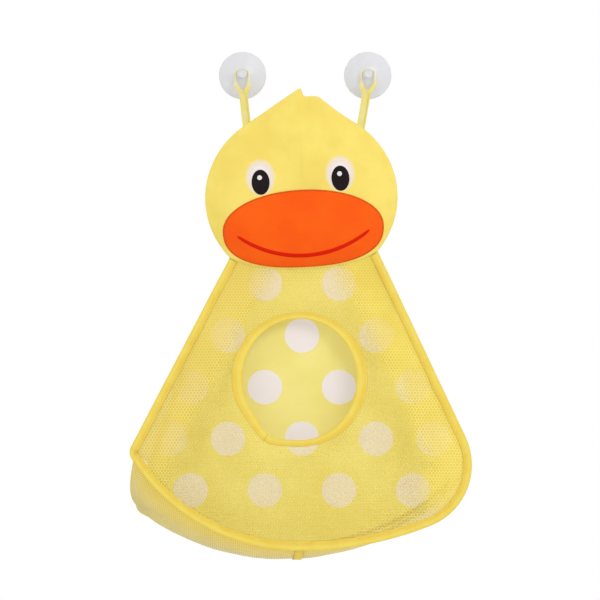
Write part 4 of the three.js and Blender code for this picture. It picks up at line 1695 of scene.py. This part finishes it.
def beakOvercast():  # the middle of each stitch and the way it lies
    inward = inwardOf(beakRim, closed=True)
    under = frontOf(cover, beak)
    ends = []
    for flat in (beakRim + inward * overcast["in"], beakRim - inward * overcast["out"]):
        ends.append(standing(flat, under(flat) - overcast["up"]))
    inside, outside = ends
    return placed(headPlace, (inside + outside) / 2), placed(headPlace, outside) - placed(headPlace, inside)


beakLine, beakLay = beakOvercast()
beakStitches = sewnRows("beak_stitches", [beakLine], "beak", "beakThread", beakLay, closed=True)
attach(beakStitches, "bag")


# Studio: a pale floor well below, soft white light, and the camera in front

studioSet = {
    "floor": (1.4, -1.2, 48),  # radius and height in metres, corners
    "lights": [("key", (0.9, -1.7, 0.9), 1.0, 12), ("fill", (-1.2, -1.5, 0.2), 1.2, 1.5)],
    "aim": (0, 0, -0.22),
}


def studio():
    radius, height, corners = studioSet["floor"]
    finish = Finish("pale floor", {"Roughness": 0.9})
    finish.feed("Base Color", finish.tint(finish.cloudy(400), colour(244, 244, 244), colour(250, 250, 250)))
    mesh = bpy.data.meshes.new("floor")
    rim = [(radius * math.cos(a), radius * math.sin(a), height) for a in roundTurns(corners)]
    mesh.from_pydata(rim, [], [tuple(range(corners))])
    mesh.materials.append(finish.material)
    floor = linked("floor", mesh)
    world = bpy.data.worlds.new("white studio")
    world.use_nodes = True
    background = world.node_tree.nodes["Background"].inputs
    background["Color"].default_value = (1, 1, 1, 1)
    background["Strength"].default_value = 1.0
    bpy.context.scene.world = world
    for name, place, size, watts in studioSet["lights"]:
        light = bpy.data.lights.new(name, "AREA")
        light.size, light.energy = size, watts
        lamp = linked(name, light)
        lamp.location = place
        lamp.rotation_euler = (Vector(studioSet["aim"]) - Vector(place)).to_track_quat("-Z", "Y").to_euler()


cameraView = {"x": -4.9, "away": 2200.0, "z": -213.8, "span": 571.8}


def viewCamera():
    data = bpy.data.cameras.new("camera")
    data.sensor_width = 36
    data.lens = data.sensor_width * cameraView["away"] / cameraView["span"]
    camera = linked("camera", data)
    camera.location = Vector((cameraView["x"], -cameraView["away"], cameraView["z"])) * mm
    camera.rotation_euler = (math.pi / 2, 0, 0)
    bpy.context.scene.camera = camera


studio()
viewCamera()
bpy.context.scene.view_settings.view_transform = "Standard"

print("scene done")
